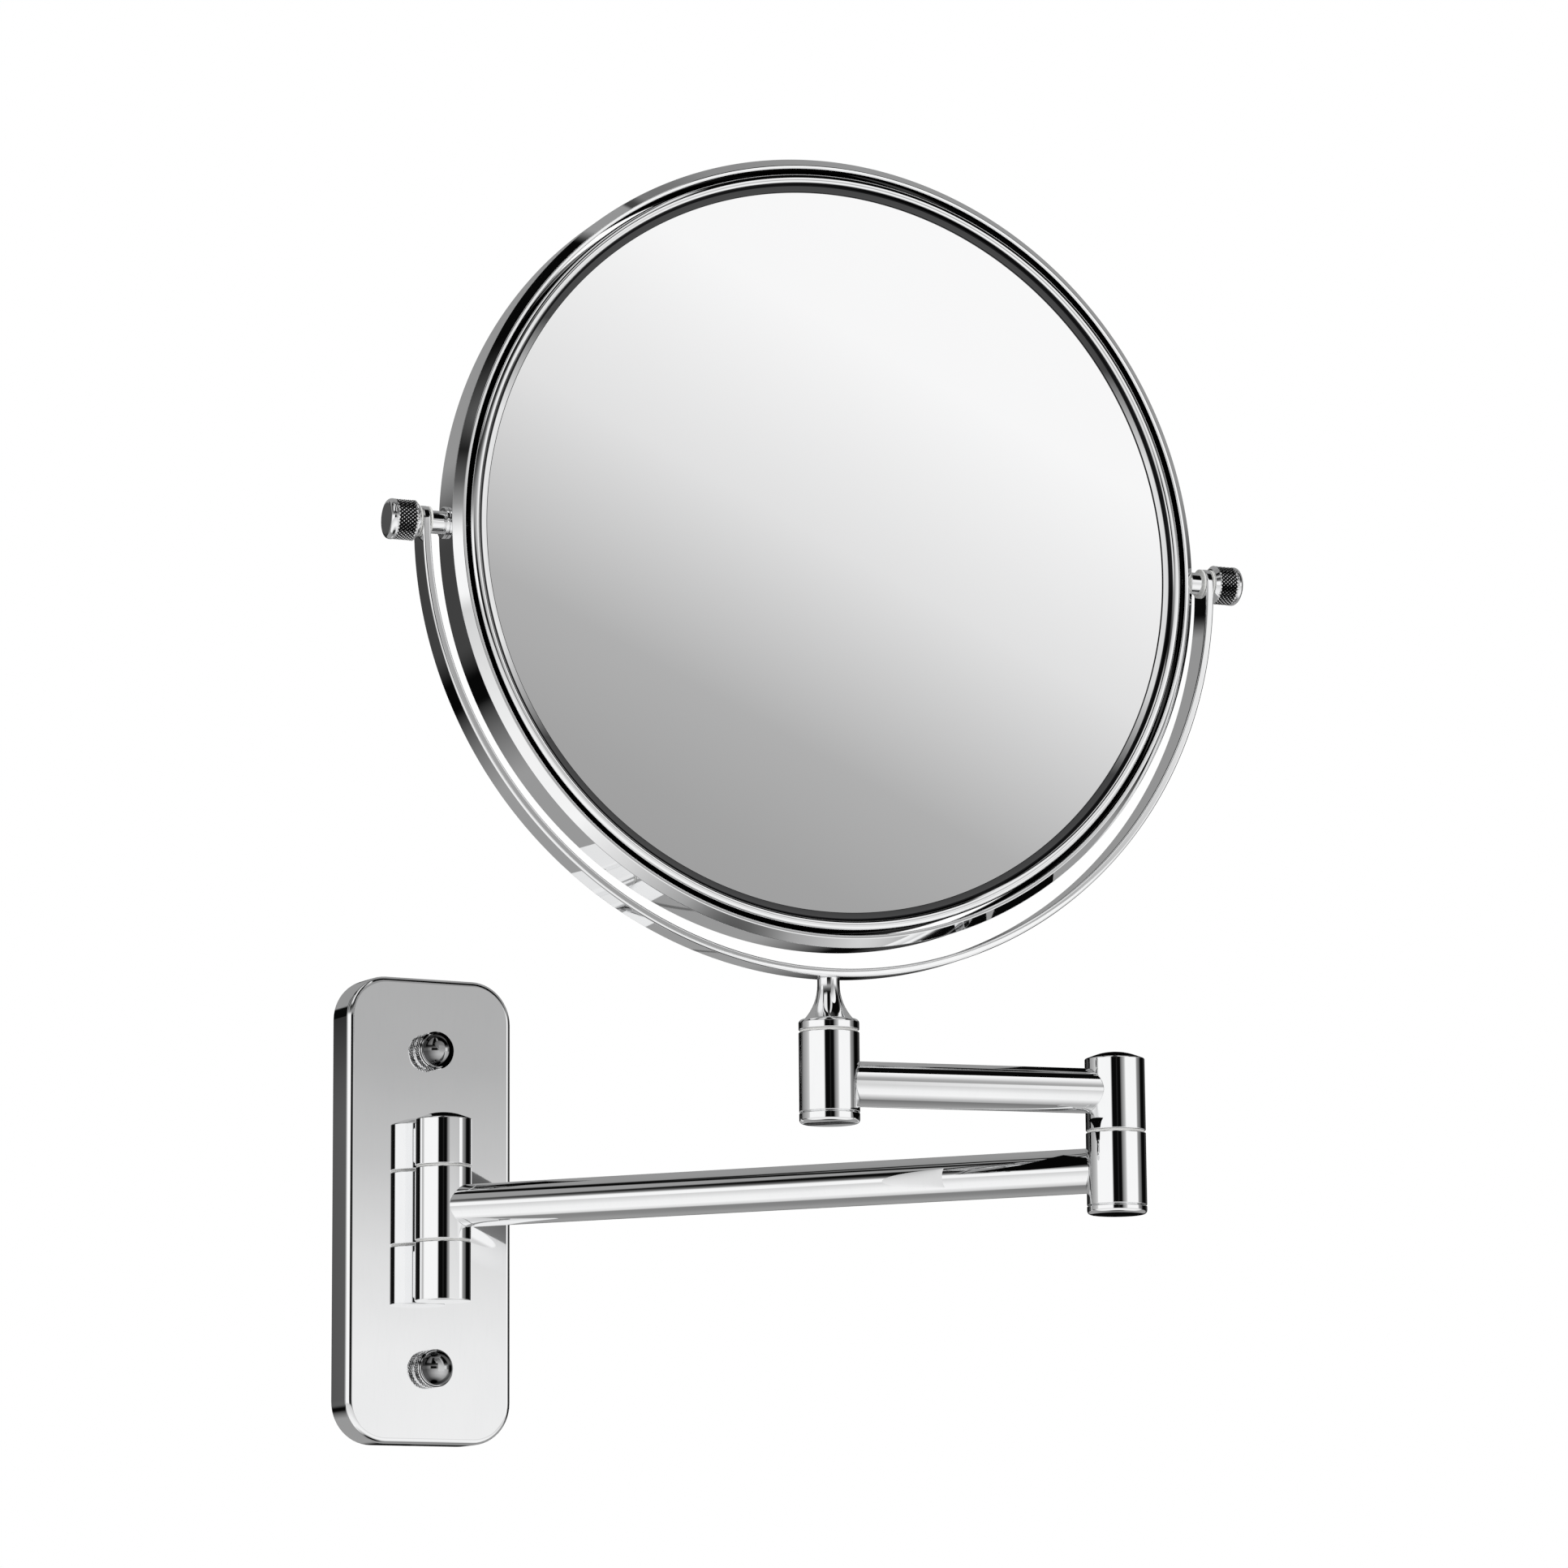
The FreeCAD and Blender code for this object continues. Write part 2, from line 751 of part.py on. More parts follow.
def pivot(side):
    """A turned stud: a tail through the drum, a flange and neck outside it, and a stud through the yoke."""
    flange = rim_r + pivot_flange_thick
    tip = knob_face + pivot_stud_engagement
    stud = lathe(
        (0, pivot_tail_end),
        (pivot_tail_r, pivot_tail_end),
        (pivot_tail_r, rim_r),
        (pivot_flange_r, rim_r),
        (pivot_flange_r, flange),
        (pivot_neck_r, flange),
        (pivot_neck_r, pivot_shoulder),
        (pivot_stud_r, pivot_shoulder),
        (pivot_stud_r, tip),
        (0, tip),
    )
    return on_pivot(stud, side)


def pivot_nut(side):
    """A small nut inside the drum that holds the pivot's tail."""
    low = pivot_nut_face - pivot_nut_thick
    nut = hexagon(pivot_nut_flats, low, pivot_nut_face)
    return on_pivot(nut.cut(cylinder(pivot_tail_r + seat_gap, low, pivot_nut_face)), side)


def pivot_washer(side):
    """Between the pivot's shoulder and the yoke."""
    low = pivot_shoulder
    return on_pivot(ring(pivot_stud_r + thread_gap, washer_r, low, low + washer_thick), side)


def knob_washer(side):
    """Between the yoke and the knob."""
    low = yoke_outer_r + float_gap
    return on_pivot(ring(pivot_stud_r + thread_gap, washer_r, low, low + washer_thick), side)


def knob(side):
    """A round thumb knob on the pivot's stud."""
    tip = knob_end
    body = lathe(
        (0, knob_face),
        (knob_r - knob_chamfer, knob_face),
        (knob_r, knob_face + knob_chamfer),
        (knob_r, tip - knob_round),
        rounded(knob_r, tip, knob_round, 1, 1),
        (0, tip),
    )
    depth = knob_face + pivot_stud_engagement + knob_bore_spare
    return on_pivot(body.cut(cylinder(pivot_stud_r + thread_gap, knob_face, depth)), side)


# ---- the set of pieces --------------------------------------------------------------------------------------
def group(shapes):
    return Part.makeCompound(list(shapes))


elbow_shelf = shelf_under(lower_elbow_above)
head_shelf = shelf_under(head_top)
elbow_cap_low = -lower_elbow_below - elbow_cap_height
head_cap_low = head_bottom - head_cap_height

pieces = {
    "wall_bracket": wall_bracket(),
    "plate_studs": group(plate_stud(z) for z in stud_heights),
    "cover_plate": cover_plate(),
    "backing_plate": backing_plate(),
    "cap_nuts": group(cap_nut(z) for z in stud_heights),
    "upper_wall_barrel": upper_wall_barrel(),
    "lower_wall_barrel": lower_wall_barrel(),
    "wall_barrel_screws": group(wall_barrel_screw(z) for z in wall_screw_heights),
    "wall_hinge_pin": wall_hinge_pin(),
    "wall_hinge_plug": wall_hinge_plug(),
    "arm_knuckle": arm_knuckle(),
    "upper_knuckle_bush": placed(flanged_bush(knuckle_above, 1), wall_axis),
    "lower_knuckle_bush": placed(flanged_bush(-knuckle_below, -1), wall_axis),
    "lower_arm_tube": lower_arm_tube(),
    "lower_elbow_barrel": lower_elbow_barrel(),
    "elbow_bush": placed(flanged_bush(lower_elbow_above, 1), elbow_axis),
    "elbow_cap": placed(end_cap(elbow_cap_low, elbow_cap_height), elbow_axis),
    "upper_elbow_barrel": upper_elbow_barrel(),
    "elbow_pin": placed(spindle(elbow_shelf, elbow_top - elbow_pin_margin), elbow_axis),
    "elbow_wave_washer": placed(wave_washer(elbow_shelf), elbow_axis),
    "elbow_screw": placed(retaining_screw(elbow_shelf), elbow_axis),
    "upper_arm_tube": upper_arm_tube(),
    "head_barrel": head_barrel(),
    "head_bush": placed(flanged_bush(head_top, 1), head_axis),
    "head_cap": placed(end_cap(head_cap_low, head_cap_height), head_axis),
    "yoke_stem": yoke_stem(),
    "head_spindle": head_spindle(),
    "head_wave_washer": placed(wave_washer(head_shelf), head_axis),
    "head_screw": placed(retaining_screw(head_shelf), head_axis),
    "yoke_band": yoke_band(),
    "knob_washers": group(knob_washer(side) for side in (-1, 1)),
    "rim_band": rim_band(),
    "front_bezel": facing_front(bezel()),
    "rear_bezel": facing_rear(bezel()),
    "plain_glass": plain_glass(),
    "magnifying_glass": magnifying_glass(),
    "spacer_ring": spacer_ring(),
    "backing_pad": backing_pad(),
    "left_pivot": pivot(-1),
    "right_pivot": pivot(1),
    "pivot_nuts": group(pivot_nut(side) for side in (-1, 1)),
    "pivot_washers": group(pivot_washer(side) for side in (-1, 1)),
    "left_knob": knob(-1),
    "right_knob": knob(1),
}

os.makedirs("parts", exist_ok=True)
for name, shape in pieces.items():
    shape.exportStep(f"parts/{name}.step")
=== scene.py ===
"""The looks of an extendable shaving mirror: polished plate, arms, yoke, mirror frame and knurled knobs.

Every piece is worked out in metres in the part's own frame: the origin is the middle of the face that lies
on the wall, +X is to the right for someone facing the wall, +Y goes into the wall and +Z goes up.
"""
import json
import math

import bpy
import numpy as np
from bpy.props import FloatProperty, FloatVectorProperty, IntProperty, PointerProperty
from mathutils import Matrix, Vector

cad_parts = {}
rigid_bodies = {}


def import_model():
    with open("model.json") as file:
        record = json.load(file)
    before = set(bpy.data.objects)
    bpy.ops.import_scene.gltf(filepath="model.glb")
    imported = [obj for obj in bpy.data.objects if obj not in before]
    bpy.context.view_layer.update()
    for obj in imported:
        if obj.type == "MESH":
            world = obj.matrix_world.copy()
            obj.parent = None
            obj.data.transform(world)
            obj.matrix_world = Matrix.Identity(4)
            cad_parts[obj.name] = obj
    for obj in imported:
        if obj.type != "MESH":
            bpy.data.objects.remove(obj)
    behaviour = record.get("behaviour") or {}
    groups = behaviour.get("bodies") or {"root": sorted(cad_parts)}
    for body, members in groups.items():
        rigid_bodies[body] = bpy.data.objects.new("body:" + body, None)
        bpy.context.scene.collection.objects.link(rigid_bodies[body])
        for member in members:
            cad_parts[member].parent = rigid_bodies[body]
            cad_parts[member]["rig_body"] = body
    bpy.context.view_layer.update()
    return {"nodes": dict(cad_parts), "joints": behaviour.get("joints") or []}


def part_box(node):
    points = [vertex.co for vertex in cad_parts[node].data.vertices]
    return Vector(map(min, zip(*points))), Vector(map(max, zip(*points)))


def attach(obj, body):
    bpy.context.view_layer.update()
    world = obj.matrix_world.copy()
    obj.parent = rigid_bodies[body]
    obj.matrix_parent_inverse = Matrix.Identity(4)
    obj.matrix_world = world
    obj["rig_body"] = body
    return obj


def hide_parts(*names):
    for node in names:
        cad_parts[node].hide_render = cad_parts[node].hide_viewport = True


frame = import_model()

bl_info = {
    "name": "Extendable Shaving Mirror",
    "version": (1, 0, 0),
    "blender": (4, 5, 0),
    "location": "3D View > Sidebar > Shaving Mirror",
    "description": "Builds the visible pieces of a wall mirror on two swinging arms",
    "category": "Object",
}

MM = 0.001
UP = np.array((0.0, 0.0, 1.0))
OUT_OF_WALL = np.array((0.0, -1.0, 0.0))
FULL = 1.0e6
HIDDEN_EDGE = 0.1 * MM


# ---- places and sizes read from the frame ---------------------------------------------------------------
def low(node):
    return np.array(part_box(node)[0])


def high(node):
    return np.array(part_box(node)[1])


def joint(name):
    return next(j for j in frame["joints"] if j["name"] == name)


WALL_AXIS = np.array(joint("wall_hinge")["pos_m"])
ELBOW_AXIS = np.array(joint("elbow_hinge")["pos_m"])
HEAD_AXIS = np.array(joint("head_swivel")["pos_m"])
MIRROR_CENTRE = np.array(joint("mirror_tilt")["pos_m"])
TO_RIGHT = np.array(joint("mirror_tilt")["axis"])
TO_FRONT = np.cross(TO_RIGHT, UP)

PLATE_WIDTH = high("cover_plate")[0] - low("cover_plate")[0]
PLATE_HEIGHT = high("cover_plate")[2] - low("cover_plate")[2]
PLATE_DEPTH = -low("cover_plate")[1]
BARREL_R = high("arm_knuckle")[2] * 0 + (high("elbow_cap")[0] - low("elbow_cap")[0]) / 2
NUT_R = (high("cap_nuts")[0] - low("cap_nuts")[0]) / 2
NUT_TOP = -low("cap_nuts")[1]
ARM_R = (high("lower_arm_tube")[2] - low("lower_arm_tube")[2]) / 2
ARM_HEIGHT = (high("upper_arm_tube")[2] + low("upper_arm_tube")[2]) / 2
YOKE_R = MIRROR_CENTRE[2] - low("yoke_band")[2]
YOKE_HALF_WIDTH = high("yoke_band")[2] - MIRROR_CENTRE[2]
RIM_R = (high("rim_band")[2] - low("rim_band")[2]) / 2
GLASS_R = (high("plain_glass")[2] - low("plain_glass")[2]) / 2
KNOB_R = (high("left_knob")[2] - low("left_knob")[2]) / 2


def reach(node, corner):
    """How far from the tilt axis's middle a round piece on that axis ends, from one corner of its box.

    Its box is wider than the piece is long by its radius, seen along the slightly turned axis.
    """
    size = high(node) - low(node)
    radius = size[2] / 2
    along = abs(corner[0] - MIRROR_CENTRE[0]) - radius * abs(TO_RIGHT[1])
    return along / abs(TO_RIGHT[0])


# ---- sizes and colours that a user may change -------------------------------------------------------------
def length(name, description, millimetres):
    return FloatProperty(
        name=name, description=description, default=millimetres * MM, min=0.0, unit="LENGTH", precision=5
    )


def share(name, description, value):
    return FloatProperty(name=name, description=description, default=value, min=0.0, max=1.0, subtype="FACTOR")


def colour(name, description, value):
    return FloatVectorProperty(
        name=name, description=description, default=value, size=3, min=0.0, max=1.0, subtype="COLOR"
    )


class ShavingMirrorSizes(bpy.types.PropertyGroup):
    """Sizes of the visible edges, walls and patterns."""

    plate_corner: length("Plate corner", "Radius of the wall plate's four corners", 12.0)
    plate_edge: length("Plate edge", "Rounding along the plate's front edge", 1.8)
    plate_wall: length("Plate wall", "Thickness of the plate's shell", 1.5)
    nut_grip: length("Nut grip", "Height of the nut's knurled side", 4.0)
    barrel_edge: length("Barrel edge", "Rounding of a barrel's edges at a seam", 0.25)
    barrel_crown_edge: length("Crown edge", "Rounding at the edge of a domed barrel", 0.4)
    barrel_dome: length("Barrel dome", "Rise of a domed barrel's top", 1.9)
    cap_edge: length("Cap edge", "Rounding of an end cap's lower edge", 1.1)
    cap_groove: length("Cap groove", "Depth and width of the groove above an end cap", 0.3)
    pin_bore: length("Pin bore", "Radius of the bores that hold the pins", 4.03)
    bush_bore: length("Bush bore", "Radius of the bores that hold the bushes", 5.07)
    bush_depth: length("Bush depth", "Depth of a bush's bore", 7.02)
    shelf: length("Shelf", "Thickness of the shelf that a spindle hangs on", 4.0)
    pocket: length("Pocket", "Radius of the pocket under a shelf", 6.2)
    foot_width: length("Foot width", "Width of the flat foot between a fixed barrel and the plate", 9.0)
    foot_margin: length("Foot margin", "How far a foot stops short of its barrel's ends", 1.5)
    arm_wall: length("Arm wall", "Thickness of an arm's tube", 1.2)
    arm_edge: length("Arm edge", "Rounding of a tube's shaped ends", 0.3)
    spigot: length("Spigot", "Length of the stub inside an arm's tube", 10.0)
    collar_height: length("Collar height", "Height of the collar on the head barrel", 2.8)
    collar_edge: length("Collar edge", "Rounding of the collar's upper edge", 1.0)
    spindle_depth: length("Spindle depth", "Depth of the spindle's bore in the collar", 3.2)
    flare_r: length("Flare radius", "Radius of the stem where it leaves the collar", 6.6)
    neck_r: length("Neck radius", "Radius of the stem under the yoke", 2.95)
    neck_length: length("Neck length", "Straight length of the stem under the yoke", 1.6)
    yoke_thick: length("Yoke thickness", "Thickness of the yoke's strip", 2.2)
    yoke_edge: length("Yoke edge", "Rounding of the yoke's edges", 0.6)
    rim_bead: length("Rim bead", "Height of the drum's turned-in edge above the glass", 1.7)
    rim_band_width: length("Rim edge width", "Width of the drum's turned-in edge, seen from the front", 3.1)
    rim_slope: length("Rim slope", "Width and height of the sloping face round the drum's edge", 2.2)
    rim_wall: length("Rim wall", "Thickness of the drum's wall", 1.2)
    bezel_bead: length("Bezel bead", "Half the width of the bezel's bead", 1.6)
    bezel_rise: length("Bezel rise", "Height of the bezel's bead above its foot", 1.5)
    lip_width: length("Lip width", "How far the bezel's lip covers the glass", 4.0)
    lip_thick: length("Lip thickness", "Thickness of the bezel's lip at the glass", 0.3)
    skirt_wall: length("Skirt wall", "Thickness of the bezel's skirt inside the drum", 0.8)
    glass_thick: length("Glass thickness", "Thickness of each glass", 2.0)
    glass_edge: length("Glass edge", "Ground edge of each glass", 0.3)
    dish: length("Dish", "Depth of the magnifying glass's hollow", 5.5)
    flange_thick: length("Flange thickness", "Thickness of the pivot's flange on the drum", 1.0)
    pivot_neck: length("Pivot neck", "Radius of the pivot between drum and yoke", 3.0)
    pivot_stud: length("Pivot stud", "Radius of the pivot's stud in the knob", 2.0)
    pivot_tail: length("Pivot tail", "Radius of the pivot's tail in the drum", 1.5)
    knob_round: length("Knob round", "Rounding of the knob's outer end", 1.5)
    knob_chamfer: length("Knob chamfer", "Chamfer of the knob's inner end", 0.9)
    knob_collar: length("Knob collar", "Smooth band between the knob's end and its knurling", 0.1)
    knurl_pitch: length("Knurl pitch", "Distance between the knurling's grooves", 1.05)
    knurl_depth: length("Knurl depth", "Depth of the knurling's grooves", 0.36)
    round_steps: IntProperty(name="Round steps", description="Facets round a barrel", default=144, min=24)
    rim_steps: IntProperty(name="Rim steps", description="Facets round the mirror", default=480, min=48)


class ShavingMirrorFinish(bpy.types.PropertyGroup):
    """Colours and gloss of the finishes."""

    chrome: colour("Chrome", "Colour of the polished plating", (0.95, 0.953, 0.957))
    chrome_haze: colour("Chrome haze", "Colour where the plating is a little hazy", (0.90, 0.905, 0.912))
    chrome_gloss: share("Chrome roughness", "Roughness of the brightest plating", 0.015)
    chrome_dull: share("Chrome haze roughness", "Roughness of the haziest plating", 0.045)
    silvering: colour("Silvering", "Colour of the silvered glass", (0.97, 0.97, 0.973))
    zinc: colour("Zinc", "Colour of the zinc-plated steel", (0.62, 0.63, 0.64))
    brass: colour("Brass", "Colour of the turned brass", (0.72, 0.58, 0.32))
    nylon: colour("Nylon", "Colour of the moulded nylon", (0.86, 0.86, 0.84))
    plastic: colour("Plastic", "Colour of the black plastic", (0.04, 0.04, 0.045))
    foam: colour("Foam", "Colour of the grey foam", (0.25, 0.25, 0.26))


class ShavingMirrorStage(bpy.types.PropertyGroup):
    """Camera, floor and light."""

    camera_place: FloatVectorProperty(
        name="Camera place",
        description="Where the camera stands",
        default=(-0.66149, -1.43017, -0.14971),
        size=3,
        subtype="TRANSLATION",
        precision=5,
    )
    camera_yaw: FloatProperty(
        name="Camera yaw", description="Turn from facing the wall", default=math.radians(-28.691), subtype="ANGLE"
    )
    camera_pitch: FloatProperty(
        name="Camera pitch", description="Tilt above level", default=math.radians(9.848), subtype="ANGLE"
    )
    camera_roll: FloatProperty(
        name="Camera roll", description="Turn about the line of sight", default=math.radians(0.458), subtype="ANGLE"
    )
    camera_lens: FloatProperty(name="Lens", description="Focal length in millimetres", default=126.91)
    floor_height: FloatProperty(name="Floor height", description="Height of the floor", default=-0.32, unit="LENGTH")
    floor_radius: FloatProperty(name="Floor radius", description="Radius of the floor", default=6.0, unit="LENGTH")
    floor_colour: colour("Floor colour", "Colour of the pale floor", (0.86, 0.86, 0.86))
    fill: share("Fill", "Brightness of the plain light from all round", 0.85)
    lamp_power: FloatProperty(name="Lamp power", description="Power of the soft lamp in watts", default=6.0)


# ---- outlines ----------------------------------------------------------------------------------------------
def unit(vectors):
    sizes = np.linalg.norm(vectors, axis=-1, keepdims=True)
    return vectors / np.where(sizes > 0, sizes, 1.0)


def outline(*corners, closed=False):
    """Points of a line that runs straight from corner to corner and turns on an arc at each.

    A corner is (radius, height) or (radius, height, arc). The arc touches both straights at a distance of
    its radius times the tangent of half the turn, and never reaches past the shorter straight.
    """
    spots = np.array([corner[:2] for corner in corners], float)
    arcs = np.array([corner[2] if len(corner) > 2 else 0.0 for corner in corners])
    into = spots - np.roll(spots, 1, axis=0)
    away = np.roll(spots, -1, axis=0) - spots
    room = np.minimum(np.linalg.norm(into, axis=1), np.linalg.norm(away, axis=1))
    into, away = unit(into), unit(away)
    turn = np.arctan2(into[:, 0] * away[:, 1] - into[:, 1] * away[:, 0], (into * away).sum(axis=1))
    cut = np.minimum(arcs * np.abs(np.tan(turn / 2)), 0.98 * room)
    points = []
    for spot, ahead, angle, back in zip(spots, into, turn, cut):
        if back <= 0:
            points.append(spot[None])
            continue
        radius = back / math.tan(angle / 2)
        left = np.array((-ahead[1], ahead[0]))
        steps = max(2, math.ceil(abs(angle) / math.radians(6)) + 1)
        t = np.linspace(0, angle, steps)[:, None]
        centre = spot - ahead * back + left * radius
        points.append(centre - radius * (np.cos(t) * left - np.sin(t) * ahead))
    line = np.concatenate(points)
    return np.concatenate([line, line[:1]]) if closed else line


# ---- surfaces -----------------------------------------------------------------------------------------------
def skin(grid, crisp=False):
    """Triangles between neighbours on a grid of points, with the diagonals turned on alternate cells.

    Points that lie together are one, so poles and seams close, and a cell's triangle with no area is left
    out. A smooth skin's normal at a point is the sum of the area vectors round it; a crisp one keeps each
    face's own normal.
    """
    rows, cols = grid.shape[:2]
    i, j = np.meshgrid(np.arange(rows - 1), np.arange(cols - 1), indexing="ij")
    a = i * cols + j
    b, c, d = a + 1, a + cols + 1, a + cols
    even = ((i + j) % 2 == 0)[..., None]
    first = np.where(even, np.stack([a, b, c], -1), np.stack([a, b, d], -1))
    second = np.where(even, np.stack([a, c, d], -1), np.stack([b, c, d], -1))
    faces = np.concatenate([first.reshape(-1, 3), second.reshape(-1, 3)])
    points, faces = merged(grid.reshape(-1, 3), faces)
    corners = points[faces]
    areas = np.cross(corners[:, 1] - corners[:, 0], corners[:, 2] - corners[:, 0])
    if crisp:
        normals = np.repeat(unit(areas)[:, None], 3, axis=1)
    else:
        sums = np.zeros_like(points)
        for k in range(3):
            np.add.at(sums, faces[:, k], areas)
        normals = unit(sums)[faces]
    return points, faces, normals


def merged(points, faces, normals=None):
    """The same faces with points that lie within a hundredth of a micron made one."""
    keys = np.round(points / 1.3e-8)
    _, kept, where = np.unique(keys, axis=0, return_index=True, return_inverse=True)
    faces = where.ravel()[faces]
    whole = (faces != np.roll(faces, 1, axis=1)).all(axis=1)
    if normals is None:
        return points[kept], faces[whole]
    return points[kept], faces[whole], normals[whole]


def turned(line, origin, axis, steps, wave=None, crisp=False):
    """A surface of revolution: a point (radius, height) of the line goes round the axis in equal steps.

    wave, if given, is the depth taken off the radius at each point of the line and each step.
    """
    axis = unit(np.asarray(axis, float))
    side = unit(np.cross(axis, (0.31, 0.59, 0.74)))
    other = np.cross(axis, side)
    angle = np.arange(steps + 1) % steps * (2 * math.pi / steps)
    spoke = np.cos(angle)[:, None] * side + np.sin(angle)[:, None] * other
    radius = np.repeat(line[:, :1], steps + 1, axis=1)
    if wave is not None:
        radius = radius - wave
    grid = origin + radius[..., None] * spoke + line[:, 1, None, None] * axis
    return skin(grid, crisp)


def knurled(radius, start, end, origin, axis, pitch, depth):
    """A band of diamond knurling from start to end along the axis, and the steps that it has round it.

    Grooves run both ways at 45 degrees. The height between them is the smaller of two triangle waves, one
    of the sum and one of the difference of the distances round and along, and it fades in at both ends.
    """
    teeth = round(2 * math.pi * radius / pitch)
    steps = 4 * teeth
    rows = max(2, round((end - start) / pitch)) * 4 + 1
    along = np.linspace(start, end, rows)
    a = (np.arange(steps + 1) % steps / 4.0)[None, :]
    b = (np.arange(rows) / 4.0)[:, None]
    height = np.minimum(triangle_wave(a + b), triangle_wave(a - b))
    fade = np.clip(np.minimum(np.arange(rows), np.arange(rows)[::-1]) / 3.0, 0, 1)[:, None]
    line = np.stack([np.full(rows, radius), along], axis=1)
    return turned(line, origin, axis, steps, depth * fade * (1 - height), crisp=True), steps


def triangle_wave(x):
    """0 at whole numbers and 1 half way between them."""
    return 1 - np.abs(2 * (x % 1.0) - 1)


def slab(width, height, corner, line, centre):
    """A flat piece standing off the wall, its outline a rectangle with round corners.

    Each point (inset, depth) of the line makes one loop: the outline pushed in by inset along its own
    normal, at that depth from the wall. Both ends of the line close on the middle.
    """
    quarter = np.linspace(0, math.pi / 2, 15)
    angle = (np.arange(4)[:, None] * math.pi / 2 + quarter).ravel()
    normal = np.stack([np.cos(angle), np.sin(angle)], axis=1)
    side = np.repeat(np.array([(1, 1), (-1, 1), (-1, -1), (1, -1)], float), len(quarter), axis=0)
    edge = side * (width / 2 - corner, height / 2 - corner) + corner * normal
    edge, normal = np.vstack([edge, edge[:1]]), np.vstack([normal, normal[:1]])
    flat = edge - line[:, :1, None] * normal
    flat = np.concatenate([flat[:1] * 0, flat, flat[:1] * 0])
    depth = np.concatenate([line[:1, 1], line[:, 1], line[-1:, 1]])
    grid = np.stack([flat[..., 0], np.broadcast_to(-depth[:, None], flat.shape[:2]), flat[..., 1]], axis=-1)
    return skin(grid + centre)


def coped_tube(start, end, height, outer, inner, edge, steps):
    """A tube between two upright barrels, both ends shaped to them.

    A point at distance s to the side of the tube's middle starts sqrt(barrel radius^2 - s^2) from the
    barrel's axis. The ends' outer edges are rounded, and the wall is closed at both ends.
    """
    run = np.linalg.norm((end - start)[:2])
    along = unit((end - start) * (1, 1, 0))
    side = np.cross(UP, along)
    soft = outline((0.0, inner), (0.0, outer, edge), (4 * edge, outer))
    setback = np.concatenate([soft[:, 0], soft[::-1, 0], soft[:1, 0]])
    radius = np.concatenate([soft[:, 1], soft[::-1, 1], soft[:1, 1]])
    far = np.concatenate([np.zeros(len(soft)), np.ones(len(soft)), np.zeros(1)])
    angle = np.arange(steps + 1) % steps * (2 * math.pi / steps)
    sideways = radius[:, None] * np.sin(angle)
    upwards = radius[:, None] * np.cos(angle)
    first = np.sqrt(BARREL_R**2 - sideways**2) + setback[:, None]
    reached = np.where(far[:, None] > 0, run - first, first)
    grid = start + reached[..., None] * along + sideways[..., None] * side
    grid = grid + (upwards + height)[..., None] * UP
    return skin(grid)


def yoke_strip(thick, edge, steps):
    """A flat strip round half a circle, with round ends about the tilt axis.

    The strip's section is a rectangle with round corners. On the half circle it stands square to the path;
    past the tilt axis its two halves swing up about that axis until they meet over it.
    """
    half = YOKE_HALF_WIDTH
    low_r = YOKE_R - thick
    right_side = outline((0.0, YOKE_R), (half, YOKE_R, edge), (half, low_r, edge), (0.0, low_r))
    left_side = right_side[::-1] * (-1, 1)
    section = np.concatenate([right_side, left_side[1:]])
    across, radius = section[:, 0], section[:, 1]
    swing = np.linspace(math.pi / 2, 0, 13)[:-1, None]
    lift = np.abs(across) * np.sin(swing)
    sideways = across * np.cos(swing)
    bend = np.linspace(math.pi, 2 * math.pi, steps)[:, None]
    ends = []
    for side, order in ((-1, 1), (1, -1)):
        end = side * radius[None, :, None] * TO_RIGHT + sideways[..., None] * TO_FRONT + lift[..., None] * UP
        ends.append(end[::order])
    arc = (radius * np.cos(bend))[..., None] * TO_RIGHT + (radius * np.sin(bend))[..., None] * UP
    arc = arc + across[None, :, None] * TO_FRONT
    return skin(np.concatenate([ends[0], arc, ends[1]]) + MIRROR_CENTRE)


def stub(radius, origin, axis, start, end, steps):
    """A plain closed rod with slightly rounded ends."""
    soft = 2 * HIDDEN_EDGE
    line = outline((0.0, start), (radius, start, soft), (radius, end, soft), (0.0, end))
    return turned(line, origin, axis, steps)


# ---- pieces ---------------------------------------------------------------------------------------------------
def make_piece(name, skins, finish, stands_for, look=None):
    """Join skins into one mesh, facing outwards, and let it ride where the CAD nodes that it replaces ride."""
    offsets = np.cumsum([0] + [len(points) for points, _, _ in skins[:-1]])
    points = np.concatenate([points for points, _, _ in skins])
    faces = np.concatenate([faces + offset for (_, faces, _), offset in zip(skins, offsets)])
    normals = np.concatenate([normals for _, _, normals in skins])
    points, faces, normals = merged(points, faces, normals)
    corners = points[faces] - points.mean(axis=0)
    volume = (corners[:, 0] * np.cross(corners[:, 1], corners[:, 2])).sum()
    if volume < 0:
        faces, normals = faces[:, ::-1], -normals[:, ::-1]
    mesh = bpy.data.meshes.new(name)
    mesh.from_pydata(points, [], faces)
    mesh.polygons.foreach_set("use_smooth", np.ones(len(faces), bool))
    mesh.normals_split_custom_set(normals.reshape(-1, 3).tolist())
    mesh.materials.append(finished(look or finish))
    piece = bpy.data.objects.new(name, mesh)
    bpy.context.scene.collection.objects.link(piece)
    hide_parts(*stands_for)
    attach(piece, frame["nodes"][stands_for[0]]["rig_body"])
    return piece


